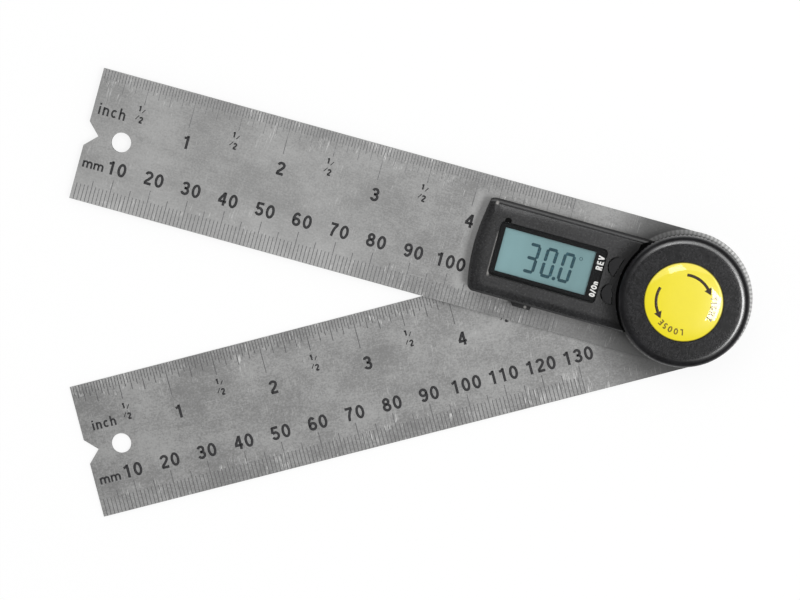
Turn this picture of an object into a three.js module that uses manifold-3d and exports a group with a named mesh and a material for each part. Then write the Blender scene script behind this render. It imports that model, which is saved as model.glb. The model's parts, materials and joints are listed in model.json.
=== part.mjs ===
// Digital angle finder: two steel rule arms on one pivot, with a display housing and a lock knob.
// Millimetres, +Z up. The origin is on the pivot axis, in the plane of the underside.
// The housing arm lies along +X. The plain arm lies below it, opened about +Z by OPEN_ANGLE.

import * as THREE from 'three';
import { mergeVertices } from 'three/addons/utils/BufferGeometryUtils.js';
import Module from 'manifold-3d';

const wasm = await Module();
wasm.setup();

// Arms
const OPEN_ANGLE = 30 * Math.PI / 180;
const BLADE_WIDTH = 35;
const BLADE_REACH = 161;
const BLADE_THICKNESS = 1.5;
const BLADE_GAP = 0.3;
const NOTCH_DEPTH = 3.2;
const HANG_HOLE_RADIUS = 2.6;
const HANG_HOLE_INSET = 9.35;

// Fits and cuts
const RUNNING_FIT = 0.15;
const SLIP_GAP = 0.3;
const OVERRUN = 1;

// Pivot stud, bush, washers and clip
const STUD_HEAD_RADIUS = 8.1;
const STUD_HEAD_THICKNESS = 0.8;
const STUD_RADIUS = 4;
const STUD_FLAT_SHARE = 0.85;
const THREAD_RADIUS = 3;
const THREAD_CHAMFER = 0.6;
const BUSH_RADIUS = 5.6;
const BUSH_FLANGE_RADIUS = 7;
const BUSH_FLANGE_THICKNESS = 0.4;
const FRICTION_WASHER_RADIUS = 16.5;
const CLIP_RADIUS = 5.6;
const CLIP_THICKNESS = 0.4;
const CLIP_MOUTH = 3.4;
const CLIP_GROOVE_DEPTH = 0.6;

// Angle encoder and circuit board
const ROTOR_RADIUS = 12;
const ROTOR_THICKNESS = 0.45;
const ROTOR_SLOTS = 12;
const ROTOR_SLOT_WIDTH = 1.6;
const ROTOR_SLOT_DEPTH = 2.4;
const ENCODER_GAP = 0.2;
const BOARD_THICKNESS = 0.8;
const BOARD_SIDE_GAP = 0.3;

// Battery, tray and contacts
const CELL_THICKNESS = 3.2;
const CELL_STEP = 0.9;
const TRAY_START_X = 29.45;
const TRAY_LIP = 0.4;
const TRAY_WALL = 0.9;
const TRAY_FRONT = 1.1;
const TRAY_TAB_LENGTH = 6.2;
const TRAY_TAB_REACH = 1.2;
const TRAY_TAB_HEIGHT = 2;
const CONTACT_THICKNESS = 0.2;
const CONTACT_WIDTH = 4;
const CONTACT_REACH_SHARE = 0.4;
const CONTACT_BOW = 1.6;
const CONTACT_ROOM = 2;

// Display stack
const GUIDE_PLATE = 0.4;
const GUIDE_WALL = 0.9;
const LCD_THICKNESS = 1;
const LCD_OVERLAP = 0.3;
const LCD_WIDTH = 18.4;
const VIEW_BORDER = 4.6;
const VIEW_WIDTH = 11.5;
const VIEW_SHIFT = 0.7;
const WINDOW_CENTRE_Y = -0.3;
const LEDGE_THICKNESS = 0.5;
const GASKET_THICKNESS = 0.2;
const LENS_THICKNESS = 0.6;
const LENS_RECESS = 0.5;
const WINDOW_START_X = 22.05;
const WINDOW_WIDTH = 14.5;
const WINDOW_END_MARGIN = 5.55;
const WINDOW_CORNER = 1.2;
const PRY_NOTCH_RADIUS = 0.85;
const PRY_NOTCH_DEPTH = 0.7;
const PRY_NOTCH_INSET = 1.8;
const PRY_NOTCH_OFFSET = 0.45;
const CONNECTOR_WIDTH = 1.5;
const CONNECTOR_GAP = 0.6;

// Housing
const COVER_WIDTH = 24.6;
const COVER_REACH = 56.3;
const COVER_END_RADIUS = 50;
const COVER_CORNER = 1.9;
const COVER_WALL = 1.2;
const COVER_DRAFT = 0.2;
const COVER_EDGE_HEIGHT = 1.7;
const COVER_SIDE_ROUND = 2.6;
const COVER_END_SHOULDER = 3.4;
const HUB_RADIUS = 16;
const HUB_CAVITY_RADIUS = 13;
const HUB_ROOF = 1;
const BOSS_RADIUS = 1.9;
const FAR_BOSS_INSET = 2.55;
const BOARD_BOSS_RADIUS = 1.6;
const WINDOW_FRAME_WALL = 1.3;

// Buttons and their switches
const BUTTON_LENGTH = 5.5;
const BUTTON_WIDTH = 2.8;
const BUTTON_TRAVEL = 0.4;
const BUTTON_PROUD = 0.12;
const BUTTON_FLANGE = 0.5;
const BUTTON_FLANGE_THICKNESS = 0.7;
const BUTTON_STEM_RADIUS = 0.9;
const BUTTON_CENTRE_X = 19.75;
const BUTTON_PITCH = 7.8;
const BUTTON_TILT = 16 * Math.PI / 180;
const SWITCH_SIZE = 4;
const CHIP_SIZE = 4;
const SWITCH_HEIGHT = 1.6;
const SWITCH_PLUNGER_RADIUS = 1;
const SWITCH_PLUNGER_HEIGHT = 0.6;

// Screws
const SCREW_RADIUS = 1;
const SCREW_HEAD_RADIUS = 1.9;
const SCREW_HEAD_DEPTH = 1;
const SCREW_SOCKET_RADIUS = 0.7;
const SCREW_SOCKET_DEPTH = 0.5;
const FAR_SCREW_BITE = 4.5;
const HUB_SCREW_BITE = 2.6;
const BOARD_SCREW_RADIUS = 0.7;
const BOARD_SCREW_HEAD_RADIUS = 1.2;
const BOARD_SCREW_HEAD_HEIGHT = 0.6;
const BOARD_SCREW_BITE = 2.4;

// Lock knob
const KNOB_RADIUS = 16.9;
const KNOB_HEIGHT = 9.2;
const KNOB_TEETH = 96;
const KNOB_TOOTH_DEPTH = 0.35;
const KNOB_SERRATION_SHARE = 0.8;
const KNOB_SHOULDER = 2.4;
const KNOB_SHOULDER_DROP = 1.4;
const KNOB_DISH = 0.1;
const KNOB_WALL = 2;
const KNOB_ROOF = 1.6;
const KNOB_RIBS = 6;
const KNOB_RIB_WIDTH = 1;
const KNOB_CLIP_ROOM = 0.5;
const KNOB_BOSS_WALL = 1.5;
const INSERT_RADIUS = 4.2;
const INSERT_LENGTH = 5.2;
const INSERT_KNURLS = 20;
const INSERT_KNURL_DEPTH = 0.25;
const KNOB_CLEARANCE = 0.7;
const KNOB_WASHER_THICKNESS = 0.3;
const LABEL_RADIUS = 10.2;
const LABEL_RECESS = 0.45;
const LABEL_EDGE = 0.4;
const LABEL_DOME = 0.6;

// Facets round each size of circle
const FINE = 72;
const MEDIUM = 48;
const SMALL = 24;
const TINY = 16;

// Heights of the stack, from the underside up
const BLADE_EDGE = BLADE_WIDTH / 2;
const LOWER_TOP = BLADE_THICKNESS;
const UPPER_BASE = LOWER_TOP + BLADE_GAP;
const UPPER_TOP = UPPER_BASE + BLADE_THICKNESS;
const BUSH_TOP = UPPER_TOP + BUSH_FLANGE_THICKNESS;
const ROTOR_BASE = BUSH_TOP + RUNNING_FIT + ENCODER_GAP / 2;
const BOARD_BASE = ROTOR_BASE + ROTOR_THICKNESS + ENCODER_GAP;
const BOARD_TOP = BOARD_BASE + BOARD_THICKNESS;
const HUB_ROOF_BASE = BOARD_TOP + SLIP_GAP;
const HUB_TOP = HUB_ROOF_BASE + HUB_ROOF;
const TRAY_BASE = BOARD_TOP + RUNNING_FIT;
const CELL_BASE = TRAY_BASE + TRAY_LIP;
const CELL_TOP = CELL_BASE + CELL_THICKNESS;
const GUIDE_BASE = CELL_TOP + RUNNING_FIT;
const LCD_BASE = GUIDE_BASE + GUIDE_PLATE;
const LCD_TOP = LCD_BASE + LCD_THICKNESS;
const LEDGE_BASE = LCD_TOP + RUNNING_FIT;
const GASKET_BASE = LEDGE_BASE + LEDGE_THICKNESS;
const LENS_BASE = GASKET_BASE + GASKET_THICKNESS;
const LENS_TOP = LENS_BASE + LENS_THICKNESS;
const COVER_TOP = LENS_TOP + LENS_RECESS;
const COVER_ROOF_BASE = COVER_TOP - COVER_WALL;
const KNOB_BASE = HUB_TOP + KNOB_WASHER_THICKNESS;
const KNOB_TOP = KNOB_BASE + KNOB_HEIGHT;
const KNOB_ROOF_BASE = KNOB_TOP - KNOB_DISH - LABEL_RECESS - KNOB_ROOF;
const CLIP_BASE = HUB_TOP + RUNNING_FIT;
const BOSS_BASE = CLIP_BASE + CLIP_THICKNESS + KNOB_CLIP_ROOM;
const BUTTON_TOP = COVER_TOP + BUTTON_PROUD;
const PLUNGER_TOP = BOARD_TOP + SWITCH_HEIGHT + SWITCH_PLUNGER_HEIGHT;
const BUTTON_BASE = PLUNGER_TOP + BUTTON_TRAVEL + RUNNING_FIT / 2;

// Places in plan
const COVER_EDGE = COVER_WIDTH / 2;
const COVER_INNER_EDGE = COVER_EDGE - COVER_WALL;
const KNOB_SEAT_RADIUS = KNOB_RADIUS + KNOB_CLEARANCE;
const SEAT_WALL_RADIUS = KNOB_SEAT_RADIUS + COVER_WALL * 2 / 3;
const FAR_SCREW_X = COVER_REACH - FAR_BOSS_INSET;
const TRAY_FAR_X = FAR_SCREW_X - BOSS_RADIUS - RUNNING_FIT * 2;
// The tray takes the widest cell for which the housing has room both along and across
const CELL_RADIUS = Math.min(
  (TRAY_FAR_X - TRAY_START_X) / 2 - TRAY_WALL - RUNNING_FIT,
  COVER_INNER_EDGE - (CONTACT_ROOM + RUNNING_FIT) / 2,
);
const CELL_CENTRE_Y = COVER_INNER_EDGE - RUNNING_FIT - CELL_RADIUS;
const TRAY_HALF = CELL_RADIUS + RUNNING_FIT + TRAY_WALL;
const TRAY_BACK_Y = CELL_CENTRE_Y - CELL_RADIUS / 2;
const TRAY_CENTRE_X = TRAY_FAR_X - TRAY_HALF;
const TRAY_NEAR_X = TRAY_CENTRE_X - TRAY_HALF;
const FAR_SCREW_Y = COVER_INNER_EDGE - BOSS_RADIUS - RUNNING_FIT * 4;
const HUB_SCREW_PLACE = (HUB_RADIUS + HUB_CAVITY_RADIUS) / 2 * Math.SQRT1_2;
const HOUSING_SCREWS = [
  { x: FAR_SCREW_X, y: FAR_SCREW_Y, bite: FAR_SCREW_BITE },
  { x: FAR_SCREW_X, y: -FAR_SCREW_Y, bite: FAR_SCREW_BITE },
  { x: -HUB_SCREW_PLACE, y: HUB_SCREW_PLACE, bite: HUB_SCREW_BITE },
  { x: -HUB_SCREW_PLACE, y: -HUB_SCREW_PLACE, bite: HUB_SCREW_BITE },
];
const BOARD_END_X = FAR_SCREW_X - BOSS_RADIUS - RUNNING_FIT;
const BOARD_TONGUE_END_X = TRAY_FAR_X + RUNNING_FIT + GUIDE_WALL;
const BOARD_EDGE = COVER_INNER_EDGE - BOARD_SIDE_GAP;
const WINDOW_LENGTH = COVER_REACH - WINDOW_START_X - WINDOW_END_MARGIN;
const WINDOW_CENTRE_X = WINDOW_START_X + WINDOW_LENGTH / 2;
const VIEW_LENGTH = WINDOW_LENGTH - VIEW_BORDER;
const VIEW_CENTRE_X = WINDOW_CENTRE_X + VIEW_SHIFT;
const LCD_LENGTH = WINDOW_LENGTH + LCD_OVERLAP;
const LCD_CENTRE_X = VIEW_CENTRE_X;
const LCD_FAR_Y = -BOARD_EDGE;
const LCD_NEAR_Y = LCD_FAR_Y + LCD_WIDTH;
const CONNECTOR_START_X = LCD_CENTRE_X - LCD_LENGTH / 2 + RUNNING_FIT * 2;
const CONNECTOR_END_X = TRAY_CENTRE_X - CONTACT_WIDTH - CONNECTOR_GAP;
const BOARD_SCREWS = [
  {
    x: WINDOW_START_X + BOARD_BOSS_RADIUS,
    y: LCD_NEAR_Y + RUNNING_FIT + BOARD_BOSS_RADIUS,
  },
  { x: SEAT_WALL_RADIUS + BOARD_BOSS_RADIUS / 2, y: -BOARD_EDGE + BOARD_BOSS_RADIUS },
];
const BUTTON_SIDES = { zero: 1, reverse: -1 };

// Solid modelling helpers

function solidOf(geometry) {
  const bare = new THREE.BufferGeometry();
  bare.setAttribute('position', geometry.getAttribute('position'));
  bare.setIndex(geometry.getIndex());
  const welded = mergeVertices(bare);
  const points = welded.getAttribute('position').array;
  const corners = Array.from(welded.getIndex().array);
  const faces = [];
  for (let i = 0; i < corners.length; i += 3) {
    const [a, b, c] = corners.slice(i, i + 3);
    if (a !== b && b !== c && c !== a) faces.push(a, b, c);
  }
  if (signedVolume(points, faces) < 0) faces.reverse();
  return new wasm.Manifold(new wasm.Mesh({
    numProp: 3,
    vertProperties: new Float32Array(points),
    triVerts: new Uint32Array(faces),
  }));
}

function signedVolume(points, faces) {
  const corner = (i) => new THREE.Vector3().fromArray(points, faces[i] * 3);
  let sum = 0;
  for (let i = 0; i < faces.length; i += 3) {
    sum += corner(i).dot(corner(i + 1).cross(corner(i + 2)));
  }
  return sum;
}

function geometryOf(solid) {
  const mesh = solid.getMesh();
  const geometry = new THREE.BufferGeometry();
  geometry.setAttribute('position', new THREE.BufferAttribute(mesh.vertProperties, mesh.numProp));
  geometry.setIndex(new THREE.BufferAttribute(mesh.triVerts, 1));
  geometry.computeVertexNormals();
  return geometry;
}

function joined(...solids) {
  return solids.reduce((whole, next) => whole.add(next));
}

function cutBy(body, ...tools) {
  return tools.reduce((rest, tool) => rest.subtract(tool), body);
}

// An outline in plan, raised between two heights
function raised(shape, bottom, top, curveSegments = TINY) {
  const geometry = new THREE.ExtrudeGeometry(shape, {
    depth: top - bottom,
    bevelEnabled: false,
    curveSegments,
  });
  geometry.translate(0, 0, bottom);
  return solidOf(geometry);
}

function disc(radius, bottom, top, facets = SMALL, x = 0, y = 0, topRadius = radius) {
  const geometry = new THREE.CylinderGeometry(topRadius, radius, top - bottom, facets);
  geometry.rotateX(Math.PI / 2);
  geometry.translate(x, y, (bottom + top) / 2);
  return solidOf(geometry);
}

function ring(outer, inner, bottom, top, facets = SMALL) {
  return cutBy(disc(outer, bottom, top, facets), disc(inner, bottom - OVERRUN, top + OVERRUN, facets));
}

function block(x0, x1, y0, y1, bottom, top) {
  const geometry = new THREE.BoxGeometry(x1 - x0, y1 - y0, top - bottom);
  geometry.translate((x0 + x1) / 2, (y0 + y1) / 2, (bottom + top) / 2);
  return solidOf(geometry);
}

// A profile of [radius, height] pairs turned about the pivot axis
function turned(profile, facets = FINE) {
  const points = profile.map(([radius, height]) => new THREE.Vector2(radius, height));
  const geometry = new THREE.LatheGeometry(points, facets);
  geometry.rotateX(Math.PI / 2);
  return solidOf(geometry);
}

// A skin over equal outlines at rising heights, closed by flat ends
function lofted(levels) {
  const count = levels[0].outline.length;
  const positions = levels.flatMap(({ outline, z }) => outline.flatMap((p) => [p.x, p.y, z]));
  const index = [];
  for (let level = 0; level + 1 < levels.length; level += 1) {
    for (let i = 0; i < count; i += 1) {
      const a = level * count + i;
      const b = level * count + (i + 1) % count;
      index.push(a, b, b + count, a, b + count, a + count);
    }
  }
  const last = (levels.length - 1) * count;
  for (const [a, b, c] of THREE.ShapeUtils.triangulateShape(levels[0].outline, [])) {
    index.push(a, c, b);
  }
  for (const [a, b, c] of THREE.ShapeUtils.triangulateShape(levels[levels.length - 1].outline, [])) {
    index.push(last + a, last + b, last + c);
  }
  const geometry = new THREE.BufferGeometry();
  geometry.setAttribute('position', new THREE.Float32BufferAttribute(positions, 3));
  geometry.setIndex(index);
  return solidOf(geometry);
}

function arcPoints(x, y, radius, start, end, steps) {
  return Array.from({ length: steps + 1 }, (_, i) => {
    const angle = start + (end - start) * i / steps;
    return new THREE.Vector2(x + radius * Math.cos(angle), y + radius * Math.sin(angle));
  });
}

function roundedRectangle(x0, x1, y0, y1, radius) {
  const shape = new THREE.Shape();
  shape.absarc(x1 - radius, y1 - radius, radius, 0, Math.PI / 2);
  shape.absarc(x0 + radius, y1 - radius, radius, Math.PI / 2, Math.PI);
  shape.absarc(x0 + radius, y0 + radius, radius, Math.PI, Math.PI * 3 / 2);
  shape.absarc(x1 - radius, y0 + radius, radius, Math.PI * 3 / 2, Math.PI * 2);
  shape.closePath();
  return shape;
}

function windowOutline(margin) {
  return roundedRectangle(
    WINDOW_CENTRE_X - WINDOW_LENGTH / 2 - margin,
    WINDOW_CENTRE_X + WINDOW_LENGTH / 2 + margin,
    WINDOW_CENTRE_Y - WINDOW_WIDTH / 2 - margin,
    WINDOW_CENTRE_Y + WINDOW_WIDTH / 2 + margin,
    WINDOW_CORNER + margin,
  );
}

// A circle with two flats, as on the stud above its shoulder
function doubleD(radius, flatShare) {
  const flat = Math.acos(flatShare);
  const shape = new THREE.Shape();
  shape.absarc(0, 0, radius, flat, Math.PI - flat);
  shape.absarc(0, 0, radius, Math.PI + flat, Math.PI * 2 - flat);
  shape.closePath();
  return shape;
}

// Arms

function bladeOutline() {
  const shape = new THREE.Shape();
  shape.absarc(0, 0, BLADE_EDGE, Math.PI / 2, Math.PI * 3 / 2);
  shape.lineTo(BLADE_REACH, -BLADE_EDGE);
  shape.lineTo(BLADE_REACH, -NOTCH_DEPTH);
  shape.lineTo(BLADE_REACH - NOTCH_DEPTH, 0);
  shape.lineTo(BLADE_REACH, NOTCH_DEPTH);
  shape.lineTo(BLADE_REACH, BLADE_EDGE);
  shape.closePath();
  return shape;
}

function blade(bottom) {
  const top = bottom + BLADE_THICKNESS;
  const holeX = BLADE_REACH - HANG_HOLE_INSET;
  const hangHole = disc(HANG_HOLE_RADIUS, bottom - OVERRUN, top + OVERRUN, SMALL, holeX);
  return cutBy(raised(bladeOutline(), bottom, top, TINY), hangHole);
}

function lowerBlade() {
  const bore = disc(STUD_RADIUS + RUNNING_FIT, -OVERRUN, LOWER_TOP + OVERRUN, SMALL);
  const headPocket = disc(STUD_HEAD_RADIUS + RUNNING_FIT, -OVERRUN, STUD_HEAD_THICKNESS, MEDIUM);
  return cutBy(blade(0), bore, headPocket);
}

function countersink({ x, y }) {
  const throat = disc(SCREW_RADIUS + RUNNING_FIT, UPPER_BASE, UPPER_TOP + OVERRUN, TINY, x, y);
  const widest = SCREW_HEAD_RADIUS + RUNNING_FIT;
  const shank = SCREW_RADIUS + RUNNING_FIT;
  const mouth = disc(widest, UPPER_BASE, UPPER_BASE + SCREW_HEAD_DEPTH, TINY, x, y, shank);
  const entry = disc(widest, UPPER_BASE - OVERRUN, UPPER_BASE, TINY, x, y);
  return joined(throat, mouth, entry);
}

function upperBlade() {
  const bore = disc(BUSH_RADIUS + RUNNING_FIT, UPPER_BASE - OVERRUN, UPPER_TOP + OVERRUN, SMALL);
  return cutBy(blade(UPPER_BASE), bore, ...HOUSING_SCREWS.map(countersink));
}

// Pivot

function pivotStud() {
  const shoulder = ROTOR_BASE;
  const grooveBase = CLIP_BASE - RUNNING_FIT / 2;
  const grooveTop = grooveBase + CLIP_THICKNESS + RUNNING_FIT;
  const grooveRadius = THREAD_RADIUS - CLIP_GROOVE_DEPTH;
  const threadTop = BOSS_BASE + INSERT_LENGTH;
  const body = turned([
    [0, 0],
    [STUD_HEAD_RADIUS, 0],
    [STUD_HEAD_RADIUS, STUD_HEAD_THICKNESS],
    [STUD_RADIUS, STUD_HEAD_THICKNESS],
    [STUD_RADIUS, shoulder],
    [THREAD_RADIUS, shoulder],
    [THREAD_RADIUS, grooveBase],
    [grooveRadius, grooveBase],
    [grooveRadius, grooveTop],
    [THREAD_RADIUS, grooveTop],
    [THREAD_RADIUS, threadTop - THREAD_CHAMFER],
    [THREAD_RADIUS - THREAD_CHAMFER, threadTop],
    [0, threadTop],
  ], MEDIUM);
  const key = raised(doubleD(STUD_RADIUS, STUD_FLAT_SHARE), shoulder, grooveBase);
  return joined(body, key);
}

function pivotBush() {
  const barrel = disc(BUSH_RADIUS, UPPER_BASE, UPPER_TOP, SMALL);
  const flange = disc(BUSH_FLANGE_RADIUS, UPPER_TOP, BUSH_TOP, SMALL);
  const bore = disc(STUD_RADIUS + RUNNING_FIT, UPPER_BASE - OVERRUN, BUSH_TOP + OVERRUN, SMALL);
  return cutBy(joined(barrel, flange), bore);
}

function frictionWasher() {
  return ring(FRICTION_WASHER_RADIUS, STUD_RADIUS + RUNNING_FIT, LOWER_TOP, UPPER_BASE, MEDIUM);
}

// A spring clip, open on one side, with three teeth in the stud's groove
function retainingRing() {
  const grooveRadius = THREAD_RADIUS - CLIP_GROOVE_DEPTH + RUNNING_FIT;
  const top = CLIP_BASE + CLIP_THICKNESS;
  const band = ring(CLIP_RADIUS, THREAD_RADIUS + CLIP_GROOVE_DEPTH, CLIP_BASE, top, SMALL);
  const teeth = [0, 1, 2].map((turn) => {
    const angle = turn * Math.PI / 2;
    const reach = new THREE.BoxGeometry(CLIP_RADIUS - grooveRadius, CLIP_MOUTH / 2, CLIP_THICKNESS);
    reach.translate((CLIP_RADIUS + grooveRadius) / 2 - CLIP_GROOVE_DEPTH / 2, 0, (CLIP_BASE + top) / 2);
    reach.rotateZ(angle);
    return solidOf(reach);
  });
  const bore = disc(grooveRadius, CLIP_BASE - OVERRUN, top + OVERRUN, SMALL);
  const mouth = block(
    -CLIP_MOUTH / 2, CLIP_MOUTH / 2,
    -CLIP_RADIUS - OVERRUN, 0,
    CLIP_BASE - OVERRUN, top + OVERRUN,
  );
  return cutBy(joined(band, ...teeth), bore, mouth);
}

function encoderRotor() {
  const top = ROTOR_BASE + ROTOR_THICKNESS;
  const key = doubleD(STUD_RADIUS + RUNNING_FIT, STUD_FLAT_SHARE);
  const keyway = raised(key, ROTOR_BASE - OVERRUN, top + OVERRUN);
  const slots = Array.from({ length: ROTOR_SLOTS }, (_, i) => {
    const slot = new THREE.BoxGeometry(ROTOR_SLOT_DEPTH, ROTOR_SLOT_WIDTH, ROTOR_THICKNESS + 2 * OVERRUN);
    slot.translate(ROTOR_RADIUS - ROTOR_SLOT_DEPTH, 0, ROTOR_BASE);
    slot.rotateZ(i * 2 * Math.PI / ROTOR_SLOTS);
    return solidOf(slot);
  });
  return cutBy(disc(ROTOR_RADIUS, ROTOR_BASE, top, MEDIUM), keyway, ...slots);
}

// Housing

// Plan of the housing from the pivot to its rounded far end, drawn in by the given amounts
function coverOutline(sideInset, endInset) {
  const edge = COVER_EDGE - sideInset;
  const arcCentre = COVER_REACH - endInset - COVER_END_RADIUS;
  const filletY = edge - COVER_CORNER;
  const filletX = arcCentre + Math.sqrt((COVER_END_RADIUS - COVER_CORNER) ** 2 - filletY ** 2);
  const tangent = Math.atan2(filletY, filletX - arcCentre);
  return [
    new THREE.Vector2(0, -edge),
    ...arcPoints(filletX, -filletY, COVER_CORNER, -Math.PI / 2, -tangent, 6),
    ...arcPoints(arcCentre, 0, COVER_END_RADIUS, -tangent, tangent, 10).slice(1, -1),
    ...arcPoints(filletX, filletY, COVER_CORNER, tangent, Math.PI / 2, 6),
    new THREE.Vector2(0, edge),
  ];
}

function coverSkin() {
  const roundSteps = 5;
  const shoulderBase = COVER_TOP - COVER_EDGE_HEIGHT;
  const level = (sideInset, endInset, z) => ({
    outline: coverOutline(sideInset, endInset),
    z,
  });
  const levels = [level(0, 0, UPPER_TOP)];
  for (let step = 0; step <= roundSteps; step += 1) {
    const angle = step / roundSteps * Math.PI / 2;
    levels.push(level(
      COVER_DRAFT + COVER_SIDE_ROUND * (1 - Math.cos(angle)),
      COVER_DRAFT + COVER_END_SHOULDER * (1 - Math.cos(angle)),
      shoulderBase + COVER_EDGE_HEIGHT * Math.sin(angle),
    ));
  }
  return lofted(levels);
}

function coverCavity() {
  const floor = UPPER_TOP - OVERRUN;
  const inner = new THREE.Shape(coverOutline(COVER_WALL, COVER_WALL));
  const boardRoom = raised(inner, floor, HUB_ROOF_BASE);
  const hubRoom = disc(HUB_CAVITY_RADIUS, floor, HUB_ROOF_BASE, MEDIUM);
  const upperRoom = cutBy(
    raised(inner, floor, COVER_ROOF_BASE),
    disc(SEAT_WALL_RADIUS, floor - OVERRUN, COVER_TOP, FINE),
  );
  return joined(boardRoom, hubRoom, upperRoom);
}

// The window's recess, its opening and the notch for lifting the lens out
function windowCuts() {
  const through = windowOutline(-LEDGE_THICKNESS * 2);
  const notchX = WINDOW_CENTRE_X + WINDOW_LENGTH / 2 - PRY_NOTCH_INSET;
  const notchY = WINDOW_CENTRE_Y - WINDOW_WIDTH / 2 - PRY_NOTCH_OFFSET;
  return [
    raised(windowOutline(0), GASKET_BASE, COVER_TOP + OVERRUN, 6),
    raised(through, LEDGE_BASE - OVERRUN, COVER_TOP, 6),
    disc(PRY_NOTCH_RADIUS, COVER_TOP - PRY_NOTCH_DEPTH, COVER_TOP + OVERRUN, TINY, notchX, notchY),
  ];
}

function screwBoss({ x, y }, radius, bottom) {
  return disc(radius, bottom, COVER_ROOF_BASE + COVER_WALL / 2, TINY, x, y);
}

function screwBore({ x, y, bite }) {
  return disc(SCREW_RADIUS + RUNNING_FIT, UPPER_TOP - OVERRUN, UPPER_TOP + bite + SLIP_GAP, TINY, x, y);
}

function boardScrewBore({ x, y }) {
  const top = BOARD_TOP + BOARD_SCREW_BITE + SLIP_GAP;
  return disc(BOARD_SCREW_RADIUS + RUNNING_FIT, BOARD_TOP - OVERRUN, top, TINY, x, y);
}

// Leaf shape of a button: a straight back towards the knob and a bowed front
function buttonOutline(side, margin) {
  const half = BUTTON_LENGTH / 2 + margin;
  const back = -BUTTON_WIDTH / 2 - margin;
  const bow = BUTTON_WIDTH + 2 * margin;
  const bowRadius = (half ** 2 + bow ** 2) / (2 * bow);
  const bowAngle = Math.atan2(half, bowRadius - bow);
  const turn = side * BUTTON_TILT;
  const place = new THREE.Vector2(BUTTON_CENTRE_X, side * BUTTON_PITCH / 2 + WINDOW_CENTRE_Y);
  const bowed = arcPoints(back + bow - bowRadius, 0, bowRadius, -bowAngle, bowAngle, 10);
  return new THREE.Shape(bowed.map((p) => p.rotateAround(new THREE.Vector2(), turn).add(place)));
}

function housingCover() {
  const hub = disc(HUB_RADIUS, UPPER_TOP, HUB_TOP, FINE);
  const knobRoom = disc(KNOB_SEAT_RADIUS, HUB_TOP, COVER_TOP + OVERRUN, FINE);
  const farScrews = HOUSING_SCREWS.filter((screw) => screw.bite === FAR_SCREW_BITE);
  const skin = coverSkin();
  const midRoof = COVER_ROOF_BASE + COVER_WALL / 2;
  const windowFrame = raised(windowOutline(WINDOW_FRAME_WALL), LEDGE_BASE, midRoof, 6);
  const shell = cutBy(joined(hub, cutBy(skin, knobRoom)), coverCavity());
  const farBosses = joined(...farScrews.map((screw) => screwBoss(screw, BOSS_RADIUS, UPPER_TOP)));
  const fitted = joined(
    shell,
    windowFrame,
    farBosses.intersect(skin),
    ...BOARD_SCREWS.map((screw) => screwBoss(screw, BOARD_BOSS_RADIUS, BOARD_TOP)),
  );
  const traySlot = block(
    TRAY_NEAR_X - RUNNING_FIT, TRAY_FAR_X + RUNNING_FIT,
    COVER_INNER_EDGE - COVER_WALL, COVER_EDGE + OVERRUN,
    TRAY_BASE - RUNNING_FIT, CELL_TOP + RUNNING_FIT,
  );
  const buttonHoles = Object.values(BUTTON_SIDES).map((side) => {
    return raised(buttonOutline(side, RUNNING_FIT), COVER_ROOF_BASE - OVERRUN, COVER_TOP + OVERRUN);
  });
  return cutBy(
    fitted,
    disc(STUD_RADIUS + SLIP_GAP, HUB_ROOF_BASE - OVERRUN, HUB_TOP + OVERRUN, SMALL),
    ...windowCuts(),
    traySlot,
    ...HOUSING_SCREWS.map(screwBore),
    ...BOARD_SCREWS.map(boardScrewBore),
    ...buttonHoles,
  );
}

// Window, display and board

function lensGasket() {
  const frame = raised(windowOutline(-RUNNING_FIT), GASKET_BASE, LENS_BASE, 6);
  const view = block(
    VIEW_CENTRE_X - VIEW_LENGTH / 2, VIEW_CENTRE_X + VIEW_LENGTH / 2,
    WINDOW_CENTRE_Y - VIEW_WIDTH / 2, WINDOW_CENTRE_Y + VIEW_WIDTH / 2,
    GASKET_BASE - OVERRUN, LENS_BASE + OVERRUN,
  );
  return cutBy(frame, view);
}

function windowLens() {
  return raised(windowOutline(-RUNNING_FIT), LENS_BASE, LENS_TOP, 6);
}

// Two glass plates: the lower one reaches past the upper one as a contact ledge
function lcdGlass() {
  const x0 = LCD_CENTRE_X - LCD_LENGTH / 2;
  const x1 = LCD_CENTRE_X + LCD_LENGTH / 2;
  const middle = (LCD_BASE + LCD_TOP) / 2;
  const ledge = block(x0, x1, LCD_FAR_Y, LCD_NEAR_Y, LCD_BASE, middle);
  const face = block(x0, x1, LCD_FAR_Y + CONNECTOR_WIDTH, LCD_NEAR_Y, middle, LCD_TOP);
  return joined(ledge, face);
}

function lcdConnector() {
  return block(
    CONNECTOR_START_X, CONNECTOR_END_X,
    LCD_FAR_Y, LCD_FAR_Y + CONNECTOR_WIDTH,
    BOARD_TOP, LCD_BASE,
  );
}

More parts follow.
